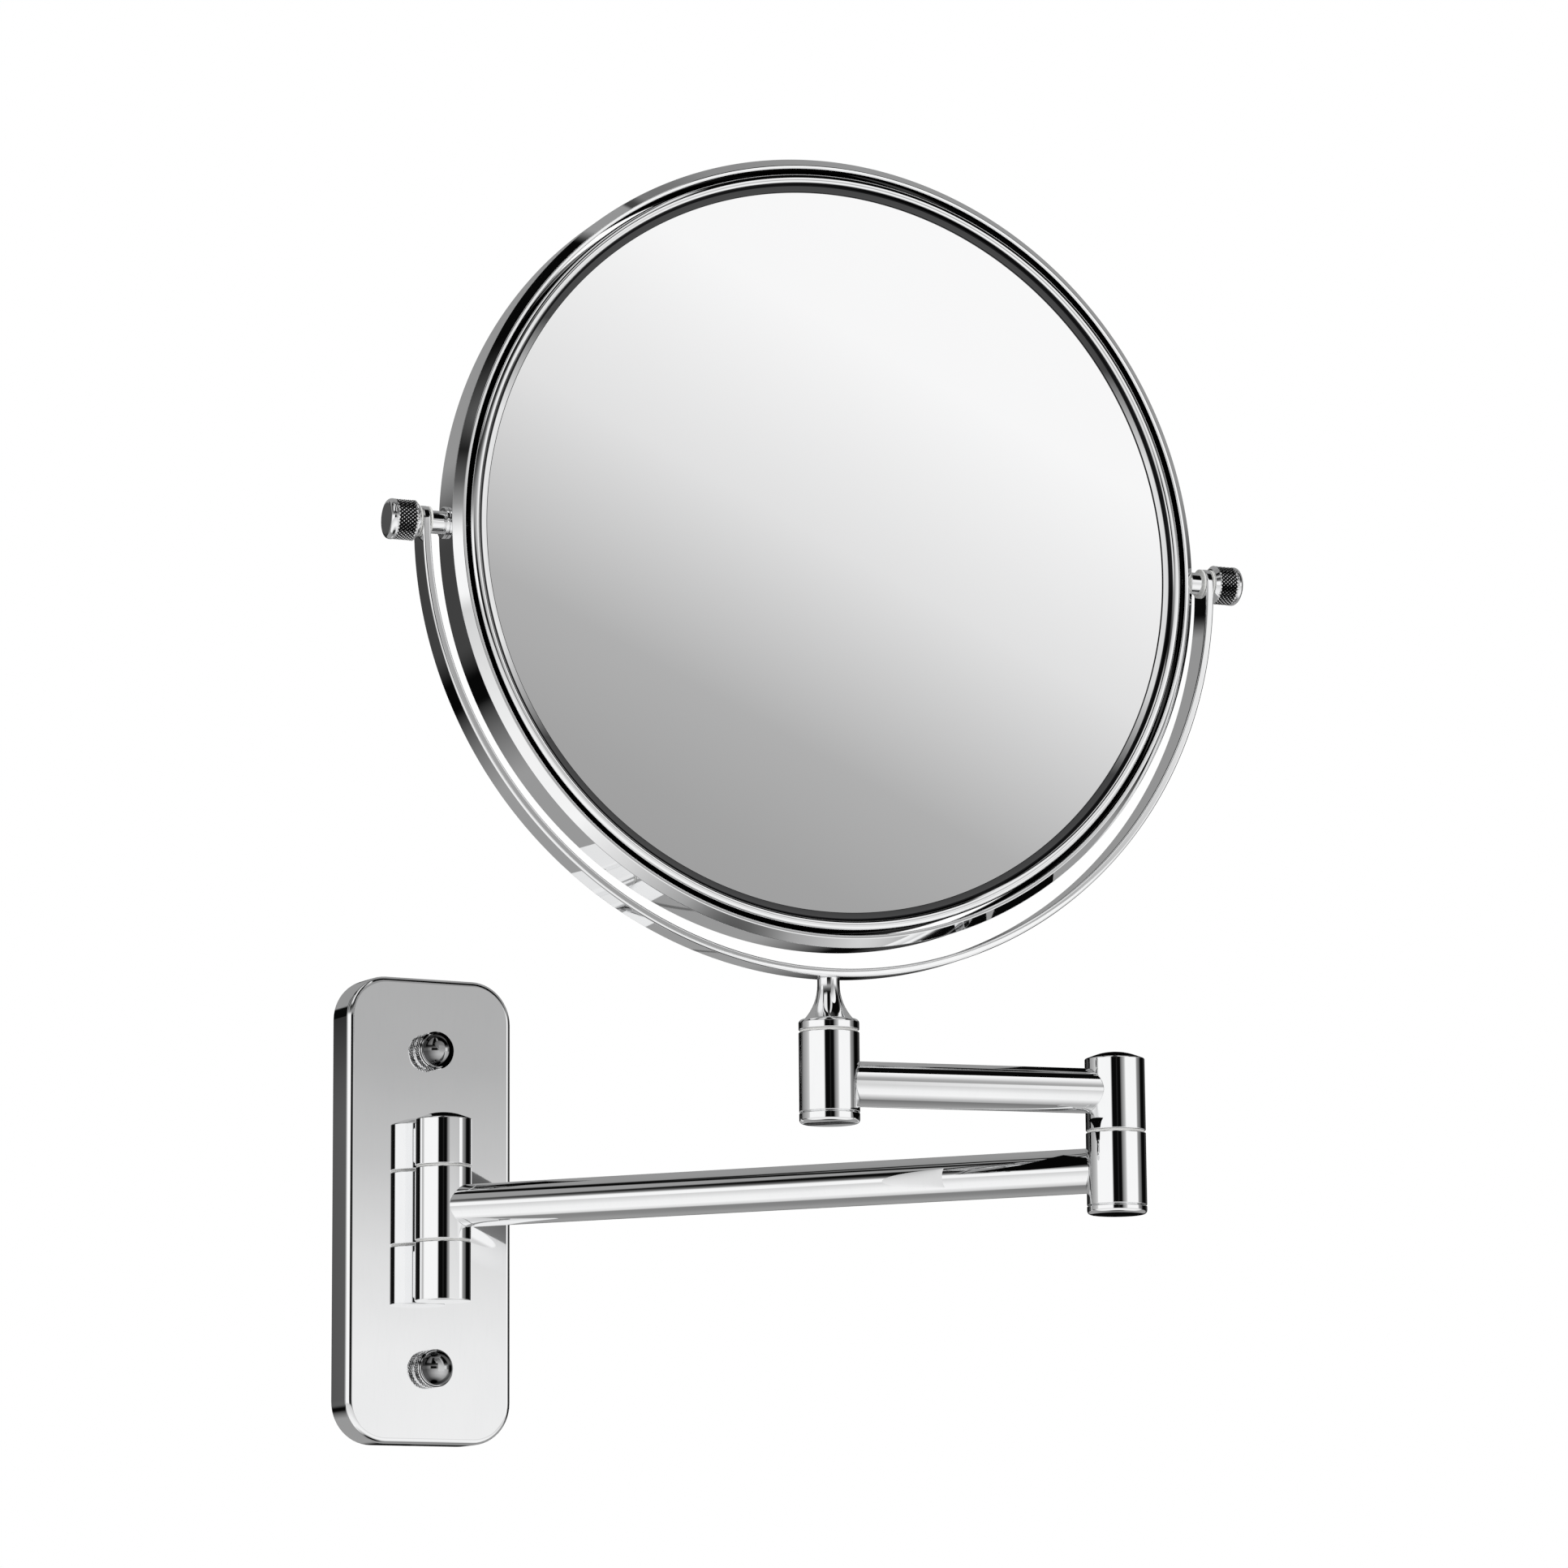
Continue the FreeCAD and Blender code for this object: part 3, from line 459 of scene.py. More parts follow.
# ---- finishes -------------------------------------------------------------------------------------------------
class Nodes:
    """A node tree, with short ways to add to it."""

    def node(self, kind, inputs=(), **settings):
        node = self.tree.nodes.new(kind)
        for key, value in settings.items():
            setattr(node, key, value)
        for key, value in dict(inputs).items():
            self.feed(node.inputs[key], value)
        return node

    def feed(self, socket, value):
        if isinstance(value, bpy.types.NodeSocket):
            self.tree.links.new(value, socket)
        else:
            socket.default_value = value

    def math(self, operation, *values):
        return self.node("ShaderNodeMath", enumerate(values), operation=operation).outputs[0]

    def ramp(self, value, start, end, stops):
        """A tone that follows a list of (place, tone) between start and end."""
        share_along = self.math("DIVIDE", self.math("SUBTRACT", value, start), end - start)
        node = self.node("ShaderNodeValToRGB", {"Fac": share_along})
        band = node.color_ramp
        for end_stop, (place, tone) in zip(band.elements, (stops[0], stops[-1])):
            end_stop.position = (place - start) / (end - start)
            end_stop.color = (*[linear(tone)] * 3, 1.0)
        for place, tone in stops[1:-1]:
            stop = band.elements.new((place - start) / (end - start))
            stop.color = (*[linear(tone)] * 3, 1.0)
        return node.outputs["Color"]


class Recipe(Nodes):
    """A material being put together: its node tree, its main shader and short ways to add nodes."""

    def __init__(self, name):
        self.material = bpy.data.materials.new(name)
        self.material.use_nodes = True
        self.tree = self.material.node_tree
        self.shader = self.tree.nodes["Principled BSDF"]
        self.place = self.tree.nodes.new("ShaderNodeTexCoord").outputs["Object"]

    def set(self, **inputs):
        for key, value in inputs.items():
            self.feed(self.shader.inputs[key.replace("_", " ")], value)

    def noise(self, scale, detail=3.0, stretch=(1.0, 1.0, 1.0)):
        spot = self.node("ShaderNodeMapping", {"Vector": self.place, "Scale": stretch})
        inputs = {"Vector": spot.outputs["Vector"], "Scale": scale, "Detail": detail}
        return self.node("ShaderNodeTexNoise", inputs).outputs["Fac"]

    def spread(self, value, start, end, low_value, high_value):
        """Map a value between start and end to low_value and high_value, and hold it there outside them."""
        inputs = {"Value": value, "From Min": start, "From Max": end, "To Min": low_value, "To Max": high_value}
        return self.node("ShaderNodeMapRange", inputs).outputs["Result"]

    def blend(self, share_of_second, first, second):
        node = self.node("ShaderNodeMix", data_type="RGBA")
        self.feed(node.inputs[0], share_of_second)
        for place, tint in ((6, first), (7, second)):
            self.feed(node.inputs[place], tint if isinstance(tint, bpy.types.NodeSocket) else (*tint, 1.0))
        return node.outputs[2]

    def vector(self, operation, *values, result="Vector"):
        return self.node("ShaderNodeVectorMath", enumerate(values), operation=operation).outputs[result]

    def from_axis(self, place, origin, axis):
        """Distance of a place from an axis through the origin point."""
        arm = self.vector("SUBTRACT", place, tuple(origin))
        return self.vector("LENGTH", self.vector("CROSS_PRODUCT", arm, tuple(axis)), result="Value")

    def along_axis(self, place, origin, axis):
        """Distance of a place from the origin point along an axis, either way."""
        arm = self.vector("SUBTRACT", place, tuple(origin))
        return self.math("ABSOLUTE", self.vector("DOT_PRODUCT", arm, tuple(axis), result="Value"))

    def between(self, value, start, end, soft):
        """1 where the value lies between start and end, falling to 0 over the soft distance outside them."""
        rise = self.spread(value, start - soft, start, 0.0, 1.0)
        return self.math("MULTIPLY", rise, self.spread(value, end, end + soft, 1.0, 0.0))

    def bump(self, height, strength, distance):
        inputs = {"Height": height, "Strength": strength, "Distance": distance}
        return self.node("ShaderNodeBump", inputs).outputs["Normal"]


# Near-black colour of the painted shade in grooves and gaps, and of the painted reflection that darkens some faces.
SHADOW = (0.012, 0.012, 0.013)


def plating(name, colours, dullness, ripple, grooves=None):
    """Bright plating: a faint haze in soft patches, fine wiping marks in the gloss and a very slight ripple.

    grooves, if given, takes the recipe and gives the share of painted shade and painted reflection laid over the tint.
    """
    recipe = Recipe(name)
    patches = recipe.noise(55.0, 2.0)
    wiping = recipe.noise(900.0, 2.0, (1.0, 1.0, 0.15))
    haze = recipe.spread(patches, 0.42, 0.72, 0.0, 0.35)
    marks = recipe.spread(wiping, 0.5, 0.8, 0.0, 0.25)
    both = recipe.math("ADD", haze, marks)
    recipe.set(Metallic=1.0)
    tint = recipe.blend(both, *colours)
    if grooves:
        # Painted shade and painted reflection: the tint darkens towards SHADOW by the share that grooves gives.
        tint = recipe.blend(grooves(recipe), tint, SHADOW)
    recipe.set(Base_Color=tint)
    recipe.set(Roughness=recipe.spread(both, 0.0, 0.6, *dullness))
    recipe.set(Normal=recipe.bump(recipe.noise(38.0, 1.0), ripple, 0.0002))
    return recipe.material


def polished_chrome(look):
    colours = (look.chrome, look.chrome_haze)
    return plating("polished chrome", colours, (look.chrome_gloss, look.chrome_dull), 0.02)


def ringed_chrome(look):
    """The mirror frame's plating, with painted shade in the groove between drum and bezel and along both foots of the
    lip.
    """

    def rings(recipe):
        size = bpy.context.scene.mirror_sizes
        radius = recipe.from_axis(recipe.place, MIRROR_CENTRE, TO_FRONT)
        height = recipe.along_axis(recipe.place, MIRROR_CENTRE, TO_FRONT)
        skirt, near, lip = bezel_radii(size)
        # Painted shade in the groove between drum and bezel, and inside the drum under the glass's face.
        gap = recipe.between(radius, skirt - 0.1 * MM, RIM_R - size.rim_band_width + 0.3 * MM, 0.1 * MM)
        deep = recipe.spread(height, glass_face() + 0.9 * MM, glass_face() + 1.2 * MM, 1.0, 0.0)
        inside = recipe.between(radius, skirt - 0.1 * MM, RIM_R - size.rim_wall + 0.3 * MM, 0.1 * MM)
        deeper = recipe.spread(height, glass_face() - 0.6 * MM, glass_face() - 0.3 * MM, 1.0, 0.0)
        # Painted shade along the bead's inner foot and at the lip's edge on the glass.
        foot = recipe.between(radius, near - 0.35 * MM, near + 0.35 * MM, 0.2 * MM)
        edge = recipe.between(radius, lip - MM, lip + 0.15 * MM, 0.1 * MM)
        # Painted reflection: the lip's inner face is darkened near the top and the bottom of the mirror.
        rise = recipe.along_axis(recipe.place, MIRROR_CENTRE, UP)
        top = recipe.spread(rise, 0.3 * GLASS_R, 0.55 * GLASS_R, 0.0, 0.93)
        bottom = recipe.spread(rise, -0.92 * GLASS_R, -0.78 * GLASS_R, 0.85, 0.0)
        inner = recipe.between(radius, lip - MM, near, 0.1 * MM)
        inner = recipe.math("MULTIPLY", inner, recipe.math("MAXIMUM", top, bottom))
        dark = recipe.math("MAXIMUM", recipe.math("MAXIMUM", foot, edge), inner)
        dark = recipe.math("MAXIMUM", dark, recipe.math("MULTIPLY", inside, deeper))
        return recipe.math("MAXIMUM", dark, recipe.math("MULTIPLY", gap, deep))

    return plating("ringed chrome", (look.chrome, look.chrome_haze), (look.chrome_gloss, look.chrome_dull), 0.02, rings)


def knurled_chrome(look):
    """The same plating over the knobs' knurling, with painted shade in its grooves."""
    size = bpy.context.scene.mirror_sizes
    near, end = knob_ends("right_knob", 1)
    start, stop = near + size.knob_chamfer, end - size.knob_round - size.knob_collar

    # Painted shade in the knurling's grooves.
    def painted_dark(recipe):
        radius = recipe.from_axis(recipe.place, MIRROR_CENTRE, TO_RIGHT)
        along = recipe.along_axis(recipe.place, MIRROR_CENTRE, TO_RIGHT)
        return painted_groove_shade(recipe, size, radius, along, KNOB_R, start, stop)

    colours = (look.chrome, look.chrome_haze)
    return plating("knurled chrome", colours, (look.chrome_dull, 3 * look.chrome_dull), 0.05, painted_dark)


def nut_chrome(look):
    """The same plating over the nuts' knurling; both nuts are measured as one, above the plate's middle."""
    size = bpy.context.scene.mirror_sizes
    nut_height = high("cap_nuts")[2] - NUT_R

    # Painted shade in the knurling's grooves and round the neck, and painted reflection darkening the dome.
    def painted_dark(recipe):
        folded = recipe.vector("ABSOLUTE", recipe.place)
        radius = recipe.from_axis(folded, UP * nut_height, OUT_OF_WALL)
        along = recipe.along_axis(recipe.place, np.zeros(3), OUT_OF_WALL)
        grip = PLATE_DEPTH + size.nut_grip
        # Painted shade: a dark band round the neck between the knurling and the dome.
        neck = recipe.between(along, grip + 0.2 * MM, grip + 0.7 * MM, 0.1 * MM)
        # Painted reflection: the dome is darkened, least at its middle.
        ball = recipe.spread(along, grip + 0.6 * MM, grip + 0.8 * MM, 0.0, 1.0)
        ball = recipe.math("MULTIPLY", ball, recipe.spread(radius, 0.25 * NUT_R, 0.75 * NUT_R, 0.35, 0.92))
        dark = recipe.math("MAXIMUM", neck, ball)
        return recipe.math("MAXIMUM", painted_groove_shade(recipe, size, radius, along, NUT_R, PLATE_DEPTH, grip), dark)

    colours = (look.chrome, look.chrome_haze)
    return plating("nut chrome", colours, (look.chrome_dull, 2 * look.chrome_dull), 0.05, painted_dark)


def painted_groove_shade(recipe, size, radius, along, crest, start, stop):
    """Share of painted shade at a place in the knurling: 1 in the grooves and 0 on the points of the diamonds."""
    depth = size.knurl_depth
    cut = recipe.spread(radius, crest - 0.6 * depth, crest - 0.2 * depth, 1.0, 0.0)
    return recipe.math("MULTIPLY", cut, recipe.between(along, start, stop, 0.05 * MM))


def mirror_glass(look):
    """Silvered glass: an even, clear reflection with a trace of cloud in the silver."""
    recipe = Recipe("mirror glass")
    cloud = recipe.spread(recipe.noise(18.0, 2.0), 0.45, 0.75, 0.0, 0.3)
    second = tuple(0.985 * value for value in look.silvering)
    recipe.set(Metallic=1.0)
    recipe.set(Base_Color=recipe.blend(cloud, look.silvering, second))
    recipe.set(Roughness=recipe.spread(cloud, 0.0, 0.3, 0.0, 0.006))
    return recipe.material


def zinc_steel(look):
    """Zinc plating: dull crystals a few millimetres across over rolled steel."""
    recipe = Recipe("zinc plated steel")
    inputs = {"Vector": recipe.place, "Scale": 420.0}
    crystal = recipe.node("ShaderNodeTexVoronoi", inputs).outputs["Distance"]
    rolled = recipe.noise(700.0, 3.0, (1.0, 1.0, 0.1))
    shade = recipe.spread(crystal, 0.0, 0.7, 0.0, 0.7)
    darker = tuple(0.72 * value for value in look.zinc)
    recipe.set(Metallic=1.0)
    recipe.set(Base_Color=recipe.blend(shade, look.zinc, darker))
    recipe.set(Roughness=recipe.spread(rolled, 0.3, 0.7, 0.28, 0.46))
    recipe.set(Normal=recipe.bump(rolled, 0.15, 0.0001))
    return recipe.material


def turned_brass(look):
    """Brass straight from the lathe: fine rings about the upright axis and patches of tarnish."""
    recipe = Recipe("turned brass")
    rings = recipe.noise(1.0, 2.0, (20.0, 20.0, 9000.0))
    tarnish = recipe.spread(recipe.noise(260.0), 0.4, 0.8, 0.0, 0.6)
    darker = (0.75 * look.brass[0], 0.66 * look.brass[1], 0.55 * look.brass[2])
    recipe.set(Metallic=1.0)
    recipe.set(Base_Color=recipe.blend(tarnish, look.brass, darker))
    recipe.set(Roughness=recipe.spread(rings, 0.3, 0.7, 0.2, 0.36))
    recipe.set(Normal=recipe.bump(rings, 0.1, 0.00005))
    return recipe.material


def moulded(name, tint, roughness, grain, depth):
    """A moulded or foamed surface: fine grain in the gloss and the height, and a little unevenness in colour."""
    recipe = Recipe(name)
    fine = recipe.noise(grain, 3.0)
    uneven = recipe.spread(recipe.noise(grain * 0.08, 2.0), 0.35, 0.7, 0.0, 1.0)
    darker = tuple(0.88 * value for value in tint)
    recipe.set(Metallic=0.0)
    recipe.set(Base_Color=recipe.blend(uneven, tint, darker))
    recipe.set(Roughness=recipe.spread(fine, 0.3, 0.7, roughness - 0.06, roughness + 0.06))
    recipe.set(Normal=recipe.bump(fine, 0.3, depth))
    return recipe.material


def white_nylon(look):
    return moulded("white nylon", look.nylon, 0.42, 2500.0, 0.00002)


def black_plastic(look):
    return moulded("black plastic", look.plastic, 0.55, 3000.0, 0.00003)


def grey_foam(look):
    return moulded("grey foam", look.foam, 0.92, 900.0, 0.0003)


FINISHES = {
    "polished_chrome": polished_chrome,
    "ringed_chrome": ringed_chrome,
    "knurled_chrome": knurled_chrome,
    "nut_chrome": nut_chrome,
    "mirror_glass": mirror_glass,
    "zinc_steel": zinc_steel,
    "turned_brass": turned_brass,
    "white_nylon": white_nylon,
    "black_plastic": black_plastic,
    "grey_foam": grey_foam,
}
_ready = {}


def finished(slot):
    """The material of a slot, made when it is first asked for."""
    if slot not in _ready:
        _ready[slot] = FINISHES[slot](bpy.context.scene.mirror_finish)
    return _ready[slot]


# ---- operators --------------------------------------------------------------------------------------------------
class MIRROR_OT_wall_plate(bpy.types.Operator):
    """Make the rounded wall plate, a bright shell open towards the wall"""

    bl_idname = "shaving_mirror.wall_plate"
    bl_label = "Wall plate"

    def execute(self, context):
        size = context.scene.mirror_sizes
        inside = PLATE_DEPTH - size.plate_wall
        deep = size.plate_corner - MM
        line = outline(
            (deep, inside),
            (size.plate_wall, inside, 0.4 * MM),
            (size.plate_wall, 0.0, HIDDEN_EDGE),
            (0.0, 0.0, 2 * HIDDEN_EDGE),
            (0.0, PLATE_DEPTH, size.plate_edge),
            (deep, PLATE_DEPTH),
        )
        shell = slab(PLATE_WIDTH, PLATE_HEIGHT, size.plate_corner, line, np.zeros(3))
        make_piece("plate_shell", [shell], "polished_chrome", ["cover_plate"])
        return {"FINISHED"}


class MIRROR_OT_domed_nuts(bpy.types.Operator):
    """Make the two domed nuts with knurled sides that hold the plate"""

    bl_idname = "shaving_mirror.domed_nuts"
    bl_label = "Domed nuts"

    def execute(self, context):
        size = context.scene.mirror_sizes
        grip = PLATE_DEPTH + size.nut_grip
        soft = 0.3 * MM
        skins = []
        for z in (high("cap_nuts")[2] - NUT_R, low("cap_nuts")[2] + NUT_R):
            origin = UP * z
            band, steps = knurled(
                NUT_R,
                PLATE_DEPTH + soft,
                grip - soft,
                origin,
                OUT_OF_WALL,
                size.knurl_pitch,
                size.knurl_depth,
            )
            foot = outline((0.0, PLATE_DEPTH), (NUT_R - soft, PLATE_DEPTH), (NUT_R, PLATE_DEPTH + soft))
            crown = outline(
                (NUT_R, grip - soft),
                (NUT_R - 2 * soft, grip + 0.5 * soft, 0.1 * MM),
                (0.8 * NUT_R, grip + 0.5 * soft),
                (0.8 * NUT_R, grip + 2 * soft),
                (0.9 * NUT_R, grip + 3 * soft, soft),
                (0.62 * NUT_R, NUT_TOP, FULL),
                (0.0, NUT_TOP),
            )
            skins.append(band)
            skins.append(turned(foot, origin, OUT_OF_WALL, steps))
            skins.append(turned(crown, origin, OUT_OF_WALL, steps))
        make_piece("domed_nuts", skins, "knurled_chrome", ["cap_nuts"], "nut_chrome")
        return {"FINISHED"}


def wall_foot(size, bottom, top):
    """The flat foot between a fixed barrel and the plate, with rounded upright edges."""
    tall = top - bottom - 2 * size.foot_margin
    soft = 0.6 * MM
    middle = np.array((0.0, 0.0, (top + bottom) / 2))
    deep = -WALL_AXIS[1] - size.pin_bore - MM
    line = outline((0.5 * soft, PLATE_DEPTH), (0.0, PLATE_DEPTH + 0.5 * soft), (0.0, deep))
    return slab(size.foot_width, tall, soft, line, middle)


class MIRROR_OT_wall_hinge(bpy.types.Operator):
    """Make the three barrels of the wall hinge: two fixed to the plate and the arm's knuckle between them"""

    bl_idname = "shaving_mirror.wall_hinge"
    bl_label = "Wall hinge"

    def execute(self, context):
        size = context.scene.mirror_sizes
        soft, bore = size.barrel_edge, size.pin_bore
        bottom, top = low("upper_wall_barrel")[2], high("upper_wall_barrel")[2]
        roof = high("wall_hinge_pin")[2] + HIDDEN_EDGE
        line = outline(
            (0.0, roof),
            (bore, roof),
            (bore, bottom, HIDDEN_EDGE),
            (BARREL_R, bottom, soft),
            (BARREL_R, top - size.barrel_dome, size.barrel_crown_edge),
            (0.38 * BARREL_R, top, FULL),
            (0.0, top),
        )
        steps = size.round_steps
        skins = [turned(line, WALL_AXIS, UP, steps), wall_foot(size, bottom, top - size.barrel_dome)]
        make_piece("upper_fixed_barrel", skins, "polished_chrome", ["upper_wall_barrel"])

        bottom, top = low("lower_wall_barrel")[2], high("lower_wall_barrel")[2]
        line = outline(
            (bore, bottom, HIDDEN_EDGE),
            (BARREL_R, bottom, size.barrel_crown_edge),
            (BARREL_R, top, soft),
            (bore, top, HIDDEN_EDGE),
            closed=True,
        )
        skins = [turned(line, WALL_AXIS, UP, steps), wall_foot(size, bottom, top)]
        make_piece("lower_fixed_barrel", skins, "polished_chrome", ["lower_wall_barrel"])

        bottom, top = low("arm_knuckle")[2], high("arm_knuckle")[2]
        bore = size.bush_bore
        line = outline(
            (bore, bottom, HIDDEN_EDGE),
            (BARREL_R, bottom, soft),
            (BARREL_R, top, soft),
            (bore, top, HIDDEN_EDGE),
            closed=True,
        )
        skins = [turned(line, WALL_AXIS, UP, steps), spigot(size, WALL_AXIS, ELBOW_AXIS, 0.0)]
        make_piece("turning_knuckle", skins, "polished_chrome", ["arm_knuckle"])
        return {"FINISHED"}


def spigot(size, start, end, height):
    """The stub that an arm's tube slides over, rooted in its barrel's wall."""
    radius = ARM_R - size.arm_wall - HIDDEN_EDGE
    root = 0.5 * (size.bush_bore + BARREL_R)
    return stub(radius, start + UP * height, end - start, root, BARREL_R + size.spigot, size.round_steps)


class MIRROR_OT_arms(bpy.types.Operator):
    """Make the two arm tubes, with both ends shaped to the barrels"""

    bl_idname = "shaving_mirror.arms"
    bl_label = "Arms"

    def execute(self, context):
        size = context.scene.mirror_sizes
        inner = ARM_R - size.arm_wall
        arms = (
            ("long_arm", WALL_AXIS, ELBOW_AXIS, 0.0, "lower_arm_tube"),
            ("short_arm", ELBOW_AXIS, HEAD_AXIS, ARM_HEIGHT, "upper_arm_tube"),
        )
        for name, start, end, height, node in arms:
            tube = coped_tube(start, end, height, ARM_R, inner, size.arm_edge, size.round_steps)
            make_piece(name, [tube], "polished_chrome", [node])
        return {"FINISHED"}


def shelf_barrel(size, node):
    """A barrel with a bush's bore above, a shelf for the spindle and a pocket below, all about its axis."""
    bottom, top = low(node)[2], high(node)[2]
    bush_floor = top - size.bush_depth
    shelf_floor = bush_floor - size.shelf
    return outline(
        (size.pocket, bottom, HIDDEN_EDGE),
        (BARREL_R, bottom, size.barrel_edge),
        (BARREL_R, top, size.barrel_edge),
        (size.bush_bore, top, HIDDEN_EDGE),
        (size.bush_bore, bush_floor),
        (size.pin_bore, bush_floor),
        (size.pin_bore, shelf_floor),
        (size.pocket, shelf_floor),
        closed=True,
    )


def end_cap(size, node, seat):
    """A turned cap with a groove above it and a plug pressed into the pocket over it."""
    bottom, top = low(node)[2], high(node)[2]
    groove = size.cap_groove
    plug = size.pocket - HIDDEN_EDGE
    return outline(
        (0.0, bottom),
        (BARREL_R, bottom, size.cap_edge),
        (BARREL_R, seat - groove, 0.5 * groove),
        (BARREL_R - groove, seat - groove),
        (BARREL_R - groove, seat),
        (plug, seat),
        (plug, top, HIDDEN_EDGE),
        (0.0, top),
    )


class MIRROR_OT_elbow(bpy.types.Operator):
    """Make the elbow: the lower arm's barrel with its end cap, and the upper arm's domed barrel"""

    bl_idname = "shaving_mirror.elbow"
    bl_label = "Elbow"

    def execute(self, context):
        size = context.scene.mirror_sizes
        steps = size.round_steps
        barrel = turned(shelf_barrel(size, "lower_elbow_barrel"), ELBOW_AXIS, UP, steps)
        stub_in_tube = spigot(size, ELBOW_AXIS, WALL_AXIS, 0.0)
        make_piece("lower_elbow", [barrel, stub_in_tube], "polished_chrome", ["lower_elbow_barrel"])
        cap = turned(end_cap(size, "elbow_cap", low("lower_elbow_barrel")[2]), ELBOW_AXIS, UP, steps)
        make_piece("elbow_end_cap", [cap], "polished_chrome", ["elbow_cap"])

        bottom, top = low("upper_elbow_barrel")[2], high("upper_elbow_barrel")[2]
        roof = high("elbow_pin")[2] + HIDDEN_EDGE
        line = outline(
            (0.0, roof),
            (size.pin_bore, roof),
            (size.pin_bore, bottom, HIDDEN_EDGE),
            (BARREL_R, bottom, size.barrel_edge),
            (BARREL_R, top - size.barrel_dome, size.barrel_crown_edge),
            (0.38 * BARREL_R, top, FULL),
            (0.0, top),
        )
        skins = [turned(line, ELBOW_AXIS, UP, steps), spigot(size, ELBOW_AXIS, HEAD_AXIS, ARM_HEIGHT)]
        make_piece("upper_elbow", skins, "polished_chrome", ["upper_elbow_barrel"])
        return {"FINISHED"}


class MIRROR_OT_head_joint(bpy.types.Operator):
    """Make the barrel under the mirror, its end cap and the flared stem that turns on it"""

    bl_idname = "shaving_mirror.head_joint"
    bl_label = "Head joint"

    def execute(self, context):
        size = context.scene.mirror_sizes
        steps = size.round_steps
        barrel = turned(shelf_barrel(size, "head_barrel"), HEAD_AXIS, UP, steps)
        stub_in_tube = spigot(size, HEAD_AXIS, ELBOW_AXIS, ARM_HEIGHT)
        make_piece("head_bearing", [barrel, stub_in_tube], "polished_chrome", ["head_barrel"])
        cap = turned(end_cap(size, "head_cap", low("head_barrel")[2]), HEAD_AXIS, UP, steps)
        make_piece("head_end_cap", [cap], "polished_chrome", ["head_cap"])

        foot = low("yoke_stem")[2]
        shoulder = foot + size.collar_height
        top = MIRROR_CENTRE[2] - YOKE_R
        neck = top - size.neck_length
        roof = foot + size.spindle_depth
        bow = ((size.flare_r - size.neck_r) ** 2 + (neck - shoulder) ** 2) / (2 * (size.flare_r - size.neck_r))
        lean = math.asin((neck - shoulder) / bow)
        line = outline(
            (0.0, roof),
            (size.pin_bore, roof),
            (size.pin_bore, foot, HIDDEN_EDGE),
            (BARREL_R, foot, size.barrel_edge),
            (BARREL_R, shoulder, size.collar_edge),
            (size.flare_r, shoulder, 0.15 * MM),
            (size.neck_r, neck - bow * math.tan(lean / 2), FULL),
            (size.neck_r, top, 0.1 * MM),
            (0.0, top),
        )
        stem = turned(line, HEAD_AXIS, UP, steps)
        make_piece("flared_stem", [stem], "polished_chrome", ["yoke_stem"])
        return {"FINISHED"}


class MIRROR_OT_yoke(bpy.types.Operator):
    """Make the half-round yoke that carries the mirror"""

    bl_idname = "shaving_mirror.yoke"
    bl_label = "Yoke"

    def execute(self, context):
        size = context.scene.mirror_sizes
        strip = yoke_strip(size.yoke_thick, size.yoke_edge, size.rim_steps // 2)
        make_piece("yoke_strip", [strip], "polished_chrome", ["yoke_band"])
        return {"FINISHED"}


class MIRROR_OT_frame(bpy.types.Operator):
    """Make the mirror's frame: the beaded drum and a bezel on each side"""

    bl_idname = "shaving_mirror.frame"
    bl_label = "Mirror frame"

    def execute(self, context):
        size = context.scene.mirror_sizes
        steps = size.rim_steps
        face = glass_face()
        bead = size.rim_bead
        slope = size.rim_slope
        crest = face + bead
        root = face - bead
        inner = RIM_R - size.rim_band_width
        wall = RIM_R - size.rim_wall
        soft = 0.35 * MM
        line = outline(
            (RIM_R, slope - crest, soft),
            (RIM_R, crest - slope, soft),
            (RIM_R - slope, crest, soft),
            (inner, crest, soft),
            (inner, root, bead),
            (wall, root, 0.2 * MM),
            (wall, -root, 0.2 * MM),
            (inner, -root, bead),
            (inner, -crest, soft),
            (RIM_R - slope, -crest, soft),
            closed=True,
        )
        drum = turned(line, MIRROR_CENTRE, TO_FRONT, steps)
        make_piece("beaded_drum", [drum], "polished_chrome", ["rim_band"], "ringed_chrome")
        for name, node, way in (("front_ring", "front_bezel", 1), ("rear_ring", "rear_bezel", -1)):
            ring = turned(bezel_line(size, face), MIRROR_CENTRE, way * TO_FRONT, steps)
            make_piece(name, [ring], "polished_chrome", [node], "ringed_chrome")
        return {"FINISHED"}


def glass_face():
    """Height of the front glass above the middle of the mirror head, from the glass's box."""
    size = high("plain_glass") - low("plain_glass")
    middle = (high("plain_glass") + low("plain_glass")) / 2
    thick = (size[1] - 2 * GLASS_R * abs(TO_FRONT[0])) / abs(TO_FRONT[1])
    return float((middle - MIRROR_CENTRE) @ TO_FRONT) + thick / 2


def bezel_radii(size):
    """Radii of the bezel's outside, of its bead's inner foot and of its lip's edge."""
    outside = GLASS_R + 0.25 * MM + size.skirt_wall
    return outside, outside - 1.9 * size.bezel_bead, GLASS_R - size.lip_width


